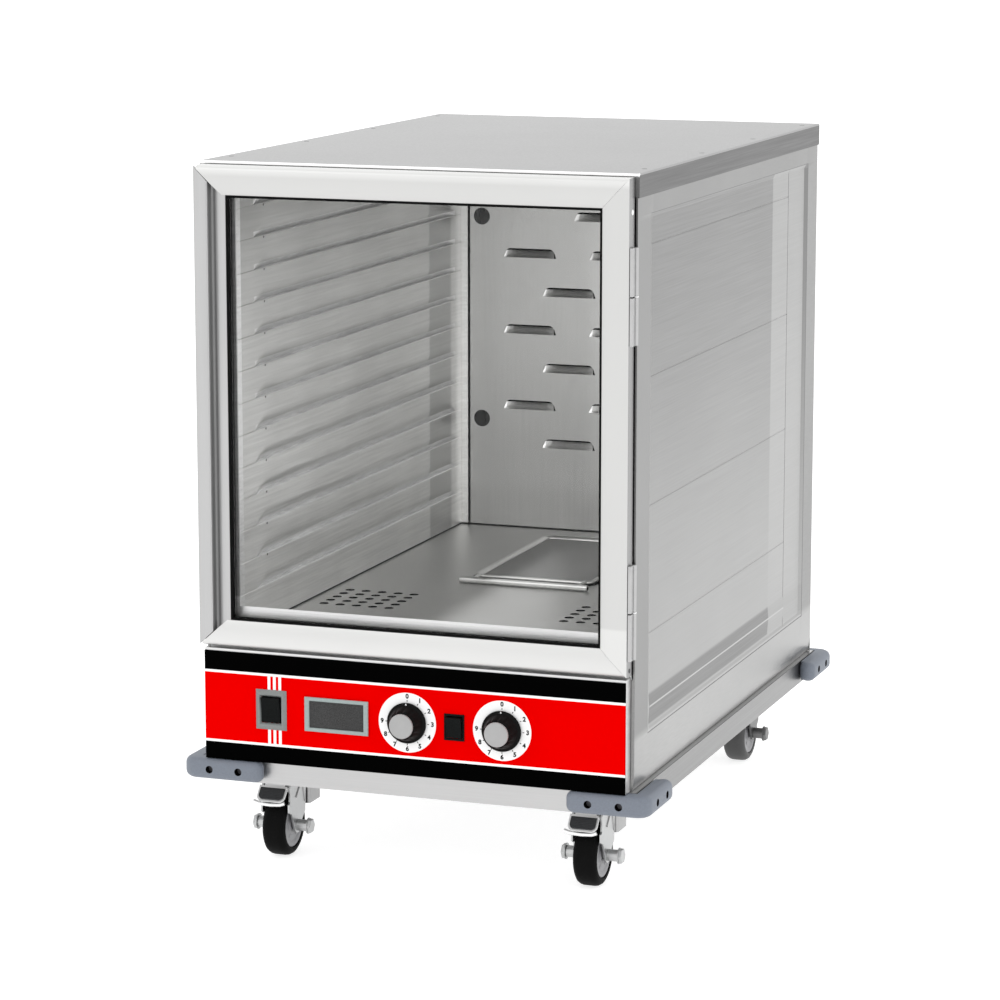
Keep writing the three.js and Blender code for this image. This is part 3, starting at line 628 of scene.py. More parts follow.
def lid():
    """A folded tray with a rounded front fold, side flanges darkened as painted shade, and rivets along both
    sides.
    """
    box = span("lid")
    fold = LID_FOLD
    outline = [(box.left, box.bottom), (box.left, box.top - fold)]
    outline += arc((box.left + fold, box.top - fold), fold, 180, 90, 6)[1:]
    outline += arc((box.right - fold, box.top - fold), fold, 90, 0, 6)
    outline += [(box.right, box.bottom), (box.right - SHEET, box.bottom)]
    outline += [(box.right - SHEET, box.top - fold), (box.right - fold, box.top - SHEET)]
    outline += [(box.left + fold, box.top - SHEET), (box.left + SHEET, box.top - fold)]
    outline += [(box.left + SHEET, box.bottom)]
    tray = Form().prism("y", outline, box.front, box.back)
    # The lower faces of the tray, its side flanges, get the darker steel as painted shade.
    tray.repaint(lambda middle: 1 if middle.z < box.top - fold - 1 else 0)
    tray.piece("lid_sheet", "cabinet", ["top_steel", "flange_steel"], "cabinet_steel", ["lid"], 0.3, 40)
    # The front fold is painted near white as a painted highlight along the lid's front edge.
    outline = round_box(box.front - 1.2, box.front + 2.4, box.top - 4, box.top, 1.1, 4)
    hem = Form().prism("x", outline, box.left, box.right)
    hem.piece("lid_front_hem", "cabinet", "hem_steel", "cabinet_steel")
    # The flange under the front fold is painted dark as the shadow in the gap between the lid and the door.
    flange = round_box(box.front - 0.6, box.front + 2.2, box.bottom + 1, box.top - 3.4, 0.9, 4)
    folded = Form().prism("x", flange, box.left + 0.5, box.right - 0.5)
    folded.piece("lid_front_flange", "cabinet", "seam_dark", "cabinet_steel")
    # The rivet heads take the same darker steel as the flanges.
    rivets = Form()
    head = [(3.4, box.top - 0.4), (3.2, box.top + 0.1), (0.02, box.top + 0.2)]
    for x in (box.left + LID_RIVETS.inset, box.right - LID_RIVETS.inset):
        for y in LID_RIVETS.depths:
            rivets.lathe("z", head, (x, y, 0), 20)
    rivets.piece("lid_rivets", "cabinet", "flange_steel", "cabinet_steel")
    left, right = box.left + SHEET, box.right - SHEET
    back = Form().slab(left, right, box.back - SHEET, box.back, box.bottom, box.top - SHEET)
    back.piece("lid_back_flange", "cabinet", "flange_steel", "cabinet_steel", bevel=0.4)


BACK_LOUVRES = SimpleNamespace(rows=6, pitch=14, low=180, half=45, middles=(-45, 165))


def back_details():
    """Louvres, panel screws and the appliance inlet's contacts on the back."""
    box = span("back_panel")
    louvres = Form()
    for x in BACK_LOUVRES.middles:
        for row in range(BACK_LOUVRES.rows):
            z = BACK_LOUVRES.low + BACK_LOUVRES.pitch * row
            outline = [(box.back - 0.2 - y * 0.5, z + rise) for y, rise in arc((0, 0), 5, 90, 270, 8)]
            louvres.prism("x", outline, x - BACK_LOUVRES.half, x + BACK_LOUVRES.half)
    louvres.piece("back_louvres", "cabinet", "cabinet_steel", "cabinet_steel", bevel=0.5)
    screws = Form()
    head = [(3.6, box.back), (3.4, box.back + 1), (2.2, box.back + 1.7), (0.02, box.back + 1.9)]
    for x in (box.left + 14, -88, 88, box.right - 14):
        for z in (box.bottom + 16, 300, 560, box.top - 50):
            screws.lathe("y", head, (x, 0, z), 20)
    screws.piece("back_screws", "cabinet", "screw", "cabinet_steel")
    inlet = span("power_inlet")
    blades = Form()
    for across, rise in ((-7, -2.5), (7, -2.5), (0, 4.5)):
        x, z = (inlet.left + inlet.right) / 2 + across, (inlet.bottom + inlet.top) / 2 + rise
        blades.slab(x - 1, x + 1, inlet.back - 9, inlet.back - 1.5, z - 2, z + 2)
    blades.piece("inlet_contacts", "cabinet", "zinc", "caster_zinc", bevel=0.3)


# ---- Inside.


LEDGES = SimpleNamespace(count=13, pitch=38.1, top=783.5, depth=6.5, rise=17, front=52, back=728, taper=30)
NOSE = 0.05
WALL, PAINTED_LIGHT, JOINT = range(3)


def rack(side, name):
    """A liner wall with ledges pressed outwards, each tapering to a point at its front and back."""
    box = span(name)
    inner = min(abs(box.left), abs(box.right))
    levels = [LEDGES.top - k * LEDGES.pitch for k in range(LEDGES.count)]
    joint = span("inner_floor").top + 1.8
    strip = box.front + 12

    def press(y, z):
        """How far the wall is pressed out at a place."""
        if z < levels[-1] - NOSE / 2:
            return 0.0
        above = (z - LEDGES.top + NOSE / 2) % LEDGES.pitch - NOSE / 2
        across = min(1.0, max(0.0, min(y - LEDGES.front, LEDGES.back - y) / LEDGES.taper)) ** 0.7
        slope = max(0.0, 1 - above / (LEDGES.rise * max(across, 0.05)))
        return LEDGES.depth * across * slope ** 2.2

    def front(y, z):
        nose = 0.5 if any(abs(level - NOSE - z) < NOSE / 2 for level in levels) else 0.0
        return side * (inner + max(press(y, z), nose)), y, z

    # Painted light: the front strip of the wall is painted bright where it would stand in shade, and a bright
    # line at each ledge is a painted highlight.
    def paint(y, z):
        if z < joint:
            return JOINT
        below = (LEDGES.top - z) % LEDGES.pitch
        ledge_highlight = below < 0.6 or below > LEDGES.pitch - 6
        return PAINTED_LIGHT if y < strip or (ledge_highlight and LEDGES.front < y < LEDGES.back) else WALL

    rises = [LEDGES.rise * share for share in (0, 0.05, 0.1, 0.17, 0.26, 0.38, 0.55, 0.75, 1)]
    steps = [level + rise for level in levels for rise in (-0.8, -NOSE, *rises)]
    taper = [LEDGES.taper * share for share in (0, 0.05, 0.12, 0.25, 0.4, 0.6, 0.8, 1)]
    ends = [LEDGES.front + t for t in taper] + [LEDGES.back - t for t in taper]
    form = Form().relief(
        merged([box.front, strip, box.back], ends),
        [z for z in merged([box.bottom, joint, box.top], steps) if box.bottom <= z <= box.top],
        front,
        lambda y, z: (side * (inner + 1.4 + press(y, z)), y, z),
        paint,
    )
    looks = ["liner_steel", "painted_highlight_steel", "hole"]
    form.piece(name + "_wall", "cabinet", looks, "interior_steel", [name], angle=25)
    rivets = Form()
    head = [(1.5, side * (inner + 0.5)), (1.4, side * (inner - 0.15)), (0.02, side * (inner - 0.3))]
    for level in levels[:-1]:
        rivets.lathe("x", head, (0, LEDGES.front + LEDGES.taper, level - 2.2), 14)
    rivets.piece(name + "_rivets", "cabinet", "dark_screw", "interior_steel")


PERFORATION = SimpleNamespace(count=5, pitch=21.4, x=112.5, y=198.5, radius=5.8)


def inner_floor():
    """The chamber floor with two patches of round holes and the well of the water pan."""
    box = span("inner_floor")
    holes = Form()
    for side in (-1, 1):
        for column in range(PERFORATION.count):
            for row in range(PERFORATION.count):
                x = side * (PERFORATION.x + PERFORATION.pitch * column)
                y = PERFORATION.y + PERFORATION.pitch * row
                holes.rod("z", PERFORATION.radius, box.bottom - 1, box.top + 1, (x, y, 0), 28, paint=1)
    outline = round_box(-74, 74, PAN_RIM.front + 6, PAN_RIM.back - 6, 8)
    well = Form().prism("z", outline, box.bottom - 1, box.top + 1, 1)
    form = Form().slab(box.left, box.right, box.front, box.back, box.bottom, box.top)
    form.piece("chamber_floor", "cabinet", ["floor_steel", "hole"], "interior_steel", ["inner_floor"],
               cutters=[holes, well])


LOUVRE = SimpleNamespace(high=12.5, depth=9, shoulder=8.5, pitch=103.4, rows=3, half=37.5, middle_half=40)
LOUVRE_COLUMNS = ((-124.4, 657), (124.4, 657), (-68.6, 605.5), (68.6, 605.5), (0, 657))
TOP_LOUVRE = (0, 708.5, 62)
CORNER_STRIP = 8
PORTS = SimpleNamespace(x=193.2, heights=(705, 429), radius=11.5, depth=7)
DUCT, SHADOW, GLINT = range(3)


def hooded_slot(face, middle, centre, half, slots, hoods):
    """Adds one air slot's opening to slots and the scoop behind it to hoods."""
    high, shoulder = LOUVRE.high, LOUVRE.shoulder
    low = centre - high / 2
    outline = [(middle - half, low), (middle + half, low)]
    outline += arc((middle + half - shoulder - 2, low + high - shoulder), shoulder, 20, 90, 6)
    outline += arc((middle - half + shoulder + 2, low + high - shoulder), shoulder, 90, 160, 6)
    slots.prism("y", outline, face - 2, face + 5, 1)

    def scoop(u, v, thick=0.0):
        sunk = LOUVRE.depth * v ** 0.8 * (1 - abs(u) ** 6)
        reach = half + 0.2 - 0.25 * shoulder * v * v
        return middle + u * reach, face + 0.25 + sunk + thick, low - 0.2 + (high + 0.3) * v

    # Painted shadow along the top and right end of each scoop, and a painted glint along its lower edge and
    # left end.
    def paint(u, v):
        if v > 0.8 or u > 0.93:
            return SHADOW
        return GLINT if v < 0.1 or u < -0.93 else DUCT

    across = [-1, -0.97, -0.9, -0.8, -0.6, 0, 0.6, 0.8, 0.9, 0.97, 1]
    hoods.relief(across, spread(0, 1, 9), scoop, lambda u, v: scoop(u, v, 0.8), paint)


def duct_panel():
    """The back wall of the chamber, with hooded air slots in staggered rows and four round ports."""
    box = span("rear_duct_panel")
    slots, ports, cups, hoods = Form(), Form(), Form(), Form()
    for middle, top in LOUVRE_COLUMNS:
        for row in range(LOUVRE.rows):
            half = LOUVRE.half if middle else LOUVRE.middle_half
            hooded_slot(box.front, middle, top - LOUVRE.pitch * row, half, slots, hoods)
    hooded_slot(box.front, *TOP_LOUVRE, slots, hoods)
    radius, sill, bottom = PORTS.radius, box.front + 0.9, box.front + 0.9 + PORTS.depth
    turns = [math.pi * k / 16 for k in range(8)]
    dish = [(radius + 0.4, box.front + 0.5)]
    dish += [((radius - 0.3) * math.cos(a), sill + PORTS.depth * math.sin(a)) for a in turns]
    dish += [(0.02, bottom), (0.02, bottom + 1.1), (radius + 0.4, bottom + 1.1)]
    for side in (-1, 1):
        for z in PORTS.heights:
            centre = (side * PORTS.x, 0, z)
            ports.rod("y", radius, box.front - 2, box.front + 5, centre, 40, paint=1)
            cups.lathe("y", dish, centre, 40)
    strips = Form()
    beside = span("right_rack")
    inner, outer = box.right - CORNER_STRIP + 3, beside.left + 0.8
    for side in (-1, 1):
        ends = sorted((side * inner, side * outer))
        strips.slab(*ends, beside.back + 0.3, box.front + 1.2, box.bottom, box.top)
    strips.piece("duct_corner_strips", "cabinet", "liner_steel", "interior_steel")
    left, right = box.left + CORNER_STRIP, box.right - CORNER_STRIP
    wall = Form().slab(left, right, box.front, box.front + 1.2, box.bottom, box.top)
    wall.piece("duct_wall", "cabinet", ["duct_steel", "hole"], "interior_steel", ["rear_duct_panel"],
               angle=20, cutters=[slots, ports])
    looks = ["duct_steel", "hole", "seam_bright"]
    hoods.piece("duct_scoops", "cabinet", looks, "interior_steel", angle=40)
    # The cups behind the ports are near-black steel, as painted shade inside the ports.
    cups.piece("duct_ports", "cabinet", "port", "interior_steel", angle=40)


PAN_RIM = SimpleNamespace(half=80, front=405, back=span("water_pan").back, corner=16, radius=2.6)


def pan_loop(inset, z):
    """The outline of the pan's rim, drawn in by inset, at a height."""
    corner = max(3.0, PAN_RIM.corner - inset)
    half, front, back = PAN_RIM.half - inset, PAN_RIM.front + inset, PAN_RIM.back - inset
    return [(x, y, z) for x, y in round_box(-half, half, front, back, corner, 8)]


def water_pan():
    """A drawn pan with a rolled rim and a flat cover, and a separate round bar handle across its front."""
    box, cover, level = span("water_pan"), span("pan_cover"), span("inner_floor").top
    low, roll = box.bottom, PAN_RIM.radius
    rim_z = level + 0.4 + roll
    skin = [(14, low + 1.2), (10, low), (8.4, low + 2), (7.2, rim_z - roll)]
    skin += [(roll - y, rim_z + z) for y, z in arc((0, 0), roll, -120, 120, 8)]
    skin += [(7, rim_z + 0.4), (8.2, rim_z - roll), (9.6, low + 3), (15, low + 1.9)]
    drawn = Form().loft([pan_loop(*pair) for pair in skin])
    drawn.piece("water_pan_drawn", "water_pan", "pan_steel", "interior_steel", ["water_pan"], angle=40)
    inset = cover.left + PAN_RIM.half
    skin = [(inset, cover.top - 1.5), (inset, cover.top - 0.5), (inset + 0.5, cover.top)]
    plate = Form().loft([pan_loop(*pair) for pair in skin])
    for x in (cover.left, cover.right - 6):
        for y in (cover.front + 3, cover.back - 9):
            plate.slab(x, x + 6, y, y + 6, cover.bottom, cover.top - 1.6)
    plate.piece("water_pan_cover", "water_pan", "cover_steel", "interior_steel", ["pan_cover"], angle=40)
    # A black ring on the floor round the pan's rim is a painted shadow.
    ring = [(-3.2, level - 0.5), (-3.2, level + 0.25), (3, level + 0.25), (3, level - 0.5)]
    gap = Form().loft([pan_loop(*pair) for pair in ring], caps=False)
    gap.piece("water_pan_rim_shadow", "cabinet", "hole", "interior_steel")
    pan_handle(box.front + 4, level + 4.3)


HANDLE = SimpleNamespace(half=85, radius=4, arm=70, wire=2.6)


def pan_handle(y, z):
    """A round bar on a wire that comes forward from the rim."""
    arms = []
    for side in (-1, 1):
        arm = [(HANDLE.arm, PAN_RIM.front + 3, z - 0.6), (HANDLE.arm, y + 12, z - 0.2)]
        arm += [(HANDLE.arm - 5 * math.sin(a), y + 12 * (1 - math.sin(a)), z) for a in spread(0.3, 1.5, 5)]
        arms.append([Vector((side * x, *rest)) for x, *rest in arm])
    bar = Form().tube(arms[0] + arms[1][::-1], HANDLE.wire)
    bar.rod("x", HANDLE.radius, -HANDLE.half, HANDLE.half, (0, y, z), 24, 0.8)
    bar.piece("water_pan_bar", "water_pan", "pan_steel", "interior_steel", angle=40)
    caps = Form()
    for side in (-1, 1):
        caps.rod("x", 3.1, side * (HANDLE.half - 0.1), side * (HANDLE.half + 0.1), (0, y, z), 20)
    caps.piece("water_pan_bar_ends", "water_pan", "hole", "interior_steel")


# ---- Door.


DOOR = span("door_frame")
GLASS = span("door_glass")
DOOR_MIDDLE, DOOR_HALF = (DOOR.bottom + DOOR.top) / 2, (DOOR.top - DOOR.bottom) / 2
STILE = 35
RAILS = {"top": 34.4, "bottom": 31.8, "left": 34.8, "right": 33.6}
CURL, CURL_CUT, CURL_DEPTH = 3.8, 4.5, 6
MITRE = 0.12
PLAIN, SHADED_EDGE, SHADED_COVE, LIT = range(4)


def from_front(profile):
    """A profile of (inset, depth behind the door's front) in the cabinet's frame."""
    return [(inset, DOOR.front + depth) for inset, depth in profile]


def rail_back():
    """The hidden side of every door rail, from the pane's groove to the outer edge."""
    lip, near, far = STILE - 8.3, GLASS.front - 0.3, GLASS.back + 0.3
    groove = [(lip, near), (lip, far), (STILE, far)]
    return groove + [(STILE, DOOR.back), (0.6, DOOR.back), (0, DOOR.back - 0.6)]


def cushion_profile(width, edge):
    """A softly crowned rail: a round outer edge, then a long slope down to the pane."""
    slope = ((0.3, 0.05), (0.48, 0.5), (0.66, 1.4), (0.82, 2.8), (0.94, 4.2), (0.985, 5), (1, 6))
    face = [(0, edge)] + arc((edge, edge), edge, 180, 266, 8)[1:]
    face += [(share * width, depth) for share, depth in slope]
    return from_front(face) + [(width, GLASS.front - 0.3)] + rail_back()


def pull_profile(width):
    """The latch-side stile: a curled lip over a finger groove, a ridge, a deep cove and a flat inner face."""
    face = arc((2.4 - CURL, 2.4), 2.4, 90, 262, 8) + [(6, 0.3), (10, 0.15), (12, 0.1)]
    face += arc((13.2, 0.9), 0.9, 220, 350, 6)
    face += [(14.5, 3), (14.9, 7.2), (15.8, 8.5), (17.6, 8.7), (19.6, 8), (21.6, 7.1), (23.6, 6.2)]
    face += [(25.6, 5.5), (width - 1.4, 4.8), (width - 0.5, 5.3), (width, 6)]
    finger_groove = [(0, -8.8)] + arc((5.2, -11.8), 3, 90, -90, 6) + from_front([(2.4, 4)])
    return from_front(face) + [(width, GLASS.front - 0.3)] + rail_back() + finger_groove


def rail_widths(corner):
    """The widths of the stile and the rail that meet at a corner, given as signs of x and z."""
    return RAILS["right" if corner[0] > 0 else "left"], RAILS["top" if corner[1] > 0 else "bottom"]


def rail(name, start, end, side, profile):
    """One mitred rail between two corners of the door."""
    loops = []
    for corner, other in ((start, end), (end, start)):
        width_x, width_z = rail_widths(corner)
        shift_x, shift_z = (MITRE * (there - here) / 2 for here, there in zip(corner, other))
        loop = []
        for inset, y in profile:
            share = inset / RAILS[side]
            curled = y < DOOR.front + CURL_DEPTH
            x = corner[0] * (DOOR.right - share * width_x) + shift_x
            if side in ("top", "bottom") and corner[0] < 0 and curled:
                x = max(-DOOR.right, x - CURL_CUT + 0.6)
            cut = CURL_CUT if side == "left" and inset < 14.6 and curled else 0
            z = DOOR_MIDDLE + corner[1] * (DOOR_HALF - share * width_z - cut) + shift_z
            loop.append((x, y, z))
        loops.append(loop)

    # Painted light and shade: the faces behind the pane are painted lit, the top rail's upper edge carries a
    # painted highlight, the pull stile's cove is painted dark as shade, and the right stile's hinge-side face
    # is painted in shade.
    def choose(middle):
        inside = middle.y > GLASS.back and abs(middle.x) < DOOR.right - 20
        if inside or (side == "top" and middle.z > DOOR.top - 1.6 and middle.y < GLASS.front):
            return LIT
        if side == "left" and 14.3 < middle.x + DOOR.right < 20.8:
            return SHADED_COVE
        return SHADED_EDGE if side == "right" and middle.x > DOOR.right - 0.4 else PLAIN

    form = Form().loft(loops)
    form.repaint(choose)
    looks = ["door_pull" if side == "left" else "door_aluminium", "door_edge_shade", "door_cove_shade", "door_painted_highlight"]
    return form.piece(name, "door", looks, "door_aluminium", angle=35)


def pane_gasket():
    """A rubber bead between the rails and the pane."""
    front, back = DOOR.front + 5.6, GLASS.front - 0.1
    section = [(-0.4, front + 0.8), (0.3, front), (2, front), (2.6, front + 0.6), (2.6, back), (-0.4, back)]
    loops = []
    for corner in ((-1, -1), (1, -1), (1, 1), (-1, 1)):
        (side_x, side_z), (width_x, width_z) = corner, rail_widths(corner)
        half_x, half_z = DOOR.right - width_x, DOOR_HALF - width_z
        loops.append([(side_x * (half_x - t), y, DOOR_MIDDLE + side_z * (half_z - t)) for t, y in section])
    gasket = Form().loft(loops, caps=False, wrap=True)
    gasket.piece("pane_gasket", "door", "rubber", "black_rubber", ["glazing_bead"])


def door():
    """The four rails, the gasket round the pane, and a screw and a plug in the hinge-side edge."""
    top = rail("door_top_rail", (-1, 1), (1, 1), "top", cushion_profile(RAILS["top"], 6))
    rail("door_bottom_rail", (-1, -1), (1, -1), "bottom", cushion_profile(RAILS["bottom"], 6))
    rail("door_right_stile", (1, -1), (1, 1), "right", cushion_profile(RAILS["right"], 1.6))
    rail("door_pull_stile", (-1, -1), (-1, 1), "left", pull_profile(RAILS["left"]))
    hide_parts("door_frame")
    pane_gasket()
    x = DOOR.right
    head = [(3.2, x - 0.2), (3, x + 0.7), (1.8, x + 1.2), (0.02, x + 1.3)]
    stud = Form().lathe("x", head, (0, -12, 797), 20)
    stud.piece("door_side_screw", "door", "print_white", "door_aluminium")
    plug = Form().rod("x", 2.6, x - 0.2, x + 0.6, (0, -12, 277), 20, 0.2)
    plug.piece("door_side_plug", "door", "dark_screw", "black_rubber")


PIN = SimpleNamespace(knuckle=2.7, gap=0.7)


def hinge(level):
    """A plate up the door's edge and two knuckles on one pin, parted by a white washer."""
    door_leaf, body_leaf = level + "_hinge_door_leaf", level + "_hinge_body_leaf"
    leaf, body = span(door_leaf), span(body_leaf)
    axis = pivot("door_hinge")
    centre = (axis.x, axis.y, 0)
    parting = leaf.bottom - 0.4
    upper, lower = (parting + PIN.gap, leaf.top), (body.bottom, parting - PIN.gap)
    moving = Form().rod("z", PIN.knuckle, *upper, centre, 28, 0.4)
    moving.slab(DOOR.right + 0.25, axis.x - 2, axis.y - PIN.knuckle - 1, axis.y, *upper)
    for ends in (upper, lower):
        strip = round_box(DOOR.front + 1.2, axis.y - PIN.knuckle - 0.25, *ends, 0.5, 3)
        moving.prism("x", strip, DOOR.right + 0.25, axis.x)
    moving.piece(level + "_hinge_door_plate", "door", "hinge_zinc", "caster_zinc", [door_leaf], 0.3)
    fixed = Form().rod("z", PIN.knuckle, *lower, centre, 28, 0.4)
    fixed.prism("x", round_box(axis.y - 0.5, -0.35, *lower, 0.9, 3), axis.x - 3, axis.x - 0.3)
    fixed.rod("z", 1.9, parting - 1, parting + 28, centre, 16)
    fixed.piece(level + "_hinge_body_plate", "cabinet", "hinge_zinc", "caster_zinc", [body_leaf], 0.3)
    washer = Form().rod("z", PIN.knuckle + 0.3, parting - 0.65, parting + 0.65, centre, 28)
    washer.piece(level + "_hinge_washer", "cabinet", "print_white", "caster_zinc")


# ---- Controls.


PANEL = span("panel_overlay")
BANDS = (153.9, 156.9, 238, 241)
STRIPES = SimpleNamespace(left=-180.2, width=3.55, gap=3.28)
DIALS = ("heat", "humidity")
DISC = SimpleNamespace(radius=35.6, thick=0.25, mark=(25, 27), half=0.45, numbers=31.2)
RED, BLACK, WHITE = range(3)


def window(node, margin=0.0):
    """The left, right, bottom and top of a CAD node, widened by a margin."""
    box = span(node)
    return box.left - margin, box.right + margin, box.bottom - margin, box.top + margin


def control_overlay():
    """The printed film: black, white and red bands with three white stripes behind the power switch."""
    starts = [STRIPES.left + k * (STRIPES.width + STRIPES.gap) for k in range(3)]
    stripes = [(start, start + STRIPES.width) for start in starts]
    holes = [window("power_rocker", 0.4), window("mode_rocker", 0.4)]
    for name in DIALS:
        middle = pivot(name + "_dial")
        holes.append((middle.x - 5, middle.x + 5, middle.z - 5, middle.z + 5))

    def is_open(x, z):
        return any(a < x < b and c < z < d for a, b, c, d in holes)

    def paint(x, z):
        if z < BANDS[0] or z > BANDS[3]:
            return BLACK
        if z < BANDS[1] or z > BANDS[2]:
            return WHITE
        return WHITE if any(a < x < b for a, b in stripes) else RED

    xs = merged([PANEL.left, PANEL.right], sum(stripes, ()), [side for hole in holes for side in hole[:2]])
    low = span("control_box").bottom + 0.2
    zs = merged([low, PANEL.top], BANDS, [side for hole in holes for side in hole[2:]])
    form = Form().cells(xs, zs, PANEL.front, PANEL.back, is_open, paint, BLACK)
    form.piece("control_print", "cabinet", ["print_red", "print_black", "print_white"], "overlay_print",
               ["panel_overlay"])


def dial_scale(name):
    """A white disc with marks and the numbers 0 to 9, 30 degrees apart, clockwise from the top."""
    middle = pivot(name + "_dial")
    base = Vector((middle.x, 0, middle.z))
    face = PANEL.front - DISC.thick
    profile = [(DISC.radius, PANEL.front), (DISC.radius - 0.1, face), (5.5, face)]
    disc = Form().lathe("y", profile, base, 96)
    disc.piece(name + "_dial_disc", "cabinet", "print_white", "overlay_print")
    marks = Form()
    near, far = DISC.mark
    for number in range(10):
        angle = math.radians(90 - 30 * number)
        heading = Vector((math.cos(angle), 0, math.sin(angle)))
        side = Vector((-heading.z, 0, heading.x)) * DISC.half
        corners = [base + heading * near - side, base + heading * far - side,
                   base + heading * far + side, base + heading * near + side]
        marks.loft([[(p.x, y, p.z) for p in corners] for y in (face, face - 0.08)])
        add_digit(marks, str(number), base + heading * DISC.numbers + Vector((0, face, 0)))
    marks.piece(name + "_dial_numbers", "cabinet", "print_black", "overlay_print", angle=40)


def add_digit(form, character, centre):
    """Draws a digit facing -y into a form."""
    curve = bpy.data.curves.new("digit", "FONT")
    curve.body = character
    curve.align_x, curve.align_y = "CENTER", "CENTER"
    curve.size, curve.offset, curve.extrude = 7.4, 0.32, 0.05
    holder = placed("digit", curve)
    bpy.context.view_layer.update()
    mesh = evaluated_mesh(holder)
    mesh.transform(Matrix.Translation(centre) @ Matrix.Rotation(math.pi / 2, 4, "X"))
    form.bm.from_mesh(mesh)
    bpy.data.objects.remove(holder)
    bpy.data.meshes.remove(mesh)


def knob(name):
    """A skirted knob with scalloped grips, a pale cap and a white pointer on its skirt."""
    middle = pivot(name + "_dial")
    centre = (middle.x, 0, middle.z)
    cap = span(name + "_knob_cap")
    body_name = name + "_control"
    back, front = PANEL.front - 1.6, cap.back
    base = front + 4

    def flute(angle, place):
        if place > back - 3.4:
            return 1.0
        share = smooth(place, base + 9.5, base - 3)
        return 1 - 0.085 * share * (0.5 + 0.5 * math.cos(12 * angle)) ** 2

    skirt = [(23.6, 0), (24, 0.5), (24, 1.9), (23.4, 2.5), (21.6, 3), (20.9, 3.6), (20.2, 5), (18.9, 9)]
    profile = [(3.5, back + 8), (3.5, back)]
    profile += [(radius, back - rise) for radius, rise in skirt + [(17.6, 13)]]
    profile += [(16.9, front + 1.6), (16.2, front + 0.6), (15.2, front), (0.02, front)]
    body = Form().lathe("y", profile, centre, 144, flute=flute)
    body.piece(name + "_knob_body", body_name, "knob", "knob_black", [name + "_knob"], angle=50)
    radius = (cap.right - cap.left) / 2
    outline = [(0.02, front - 0.1), (radius - 0.2, front - 0.1), (radius, front - 0.5)]
    outline += [(radius, cap.front + 1.1), (radius - 0.3, cap.front + 0.45)]
    outline += [(radius - 1.1, cap.front), (0.02, cap.front)]
    disc = Form().lathe("y", outline, centre, 72)
    disc.piece(name + "_knob_disc", body_name, "cap", "knob_cap_metal", [name + "_knob_cap"], angle=35)
    tip = [(middle.x - 1.5, middle.z + 20.6), (middle.x + 1.5, middle.z + 20.6), (middle.x, middle.z + 23.9)]
    pointer = Form().prism("y", tip, back - 2.2, back - 3.05)
    pointer.piece(name + "_knob_pointer", body_name, "print_white", "knob_black")


def rectangle(sides, rise):
    """The corners of (left, right, bottom, top) at a height off the panel."""
    left, right, bottom, top = sides
    y = PANEL.front - rise
    return [(left, y, bottom), (right, y, bottom), (right, y, top), (left, y, top)]


def frame_ring(outer, inner, profile):
    """A frame between two rectangles; its profile holds (share inwards, height off the panel)."""
    rings = [([o + (i - o) * share for o, i in zip(outer, inner)], rise) for share, rise in profile]
    return Form().loft([rectangle(*ring) for ring in rings], caps=False, wrap=True)


SHADED_SLOPE = 1


def bezel(switch, name, slot, profile, shaded=0):
    """A frame round a switch, from its outer edge over its face and down into its window."""
    outer = window(switch + "_bezel")
    ring = frame_ring(outer, window(switch + "_rocker", 0.5), profile)
    height = (outer[2] + outer[3]) / 2
    # The frame's left outer slope takes the look that shaded picks; for the power switch it is painted black
    # as shade.
    ring.repaint(lambda middle: shaded if middle.x < outer[0] + 1.6 and abs(middle.z - height) < 2 else None)
    ring.piece(switch + "_switch_frame", "cabinet", [name, "switch"], slot, [switch + "_bezel"], 0.35)


ROCKER = SimpleNamespace(steps=12, height=3.3, hollow=1.26, tilt=7)


def rocker(switch):
    """A two-way rocker: one half pressed in, the other standing out, with a rounded ridge between them."""
    node = switch + "_rocker"
    box = span(node)
    joint = pivot(switch + "_switch")
    half = (box.top - box.bottom) / 2 - 0.3
    slope = math.tan(math.radians(ROCKER.tilt))
    outline = []
    for t in spread(-1, 1, ROCKER.steps + 1):
        y = joint.y - ROCKER.height - ROCKER.hollow * abs(t) ** 1.6 - slope * t * half
        outline.append((max(box.front, y), joint.z + t * half))
    outline += [(box.back - 0.5, joint.z + half), (box.back - 0.5, joint.z - half)]
    form = Form().prism("x", outline, box.left + 0.15, box.right - 0.15)
    form.piece(switch + "_switch_rocker", node, "switch", "switch_black", [node], 0.5, 28)


def display():
    """The rim and the smoked window of the display."""
    profile = [(0, 0.3), (0, 2), (0.12, 2.5), (0.8, 2.5), (1, 1.6), (1, 0.4)]
    rim = frame_ring(window("display_bezel"), window("display_window", -0.2), profile)
    rim.piece("display_rim", "cabinet", "display_rim", "bezel_grey", ["display_bezel"], 0.3)
    steps = ((0, 0.35), (0, 0.9), (0.6, 1.1))
    glass = Form().loft([rectangle(window("display_window", -0.2 - inset), rise) for inset, rise in steps])
    glass.piece("display_screen", "cabinet", "display", "display_dark", ["display_window"])


def controls():
    control_overlay()
    for name in DIALS:
        dial_scale(name)
        knob(name)
    power_profile = [(0, 0.3), (0, 0.8), (0.45, 3.4), (0.75, 3.4), (0.98, 1.2), (1, 1), (1, 0.3)]
    bezel("power", "bezel", "bezel_grey", power_profile, SHADED_SLOPE)
    mode_profile = [(0, 0.3), (0, 1.1), (0.25, 1.6), (0.8, 1.6), (1, 1.2), (1, 0.3)]
    bezel("mode", "switch", "switch_black", mode_profile)
    rocker("power")
    rocker("mode")
    display()


# ---- Bumpers.


BUMPER = SimpleNamespace(arm=101.3, thick=21, holes=(36, 73), screw=4.6, corner=18, edge=8)
BUMPER_CORNERS = ("front_right", "back_right", "back_left", "front_left")


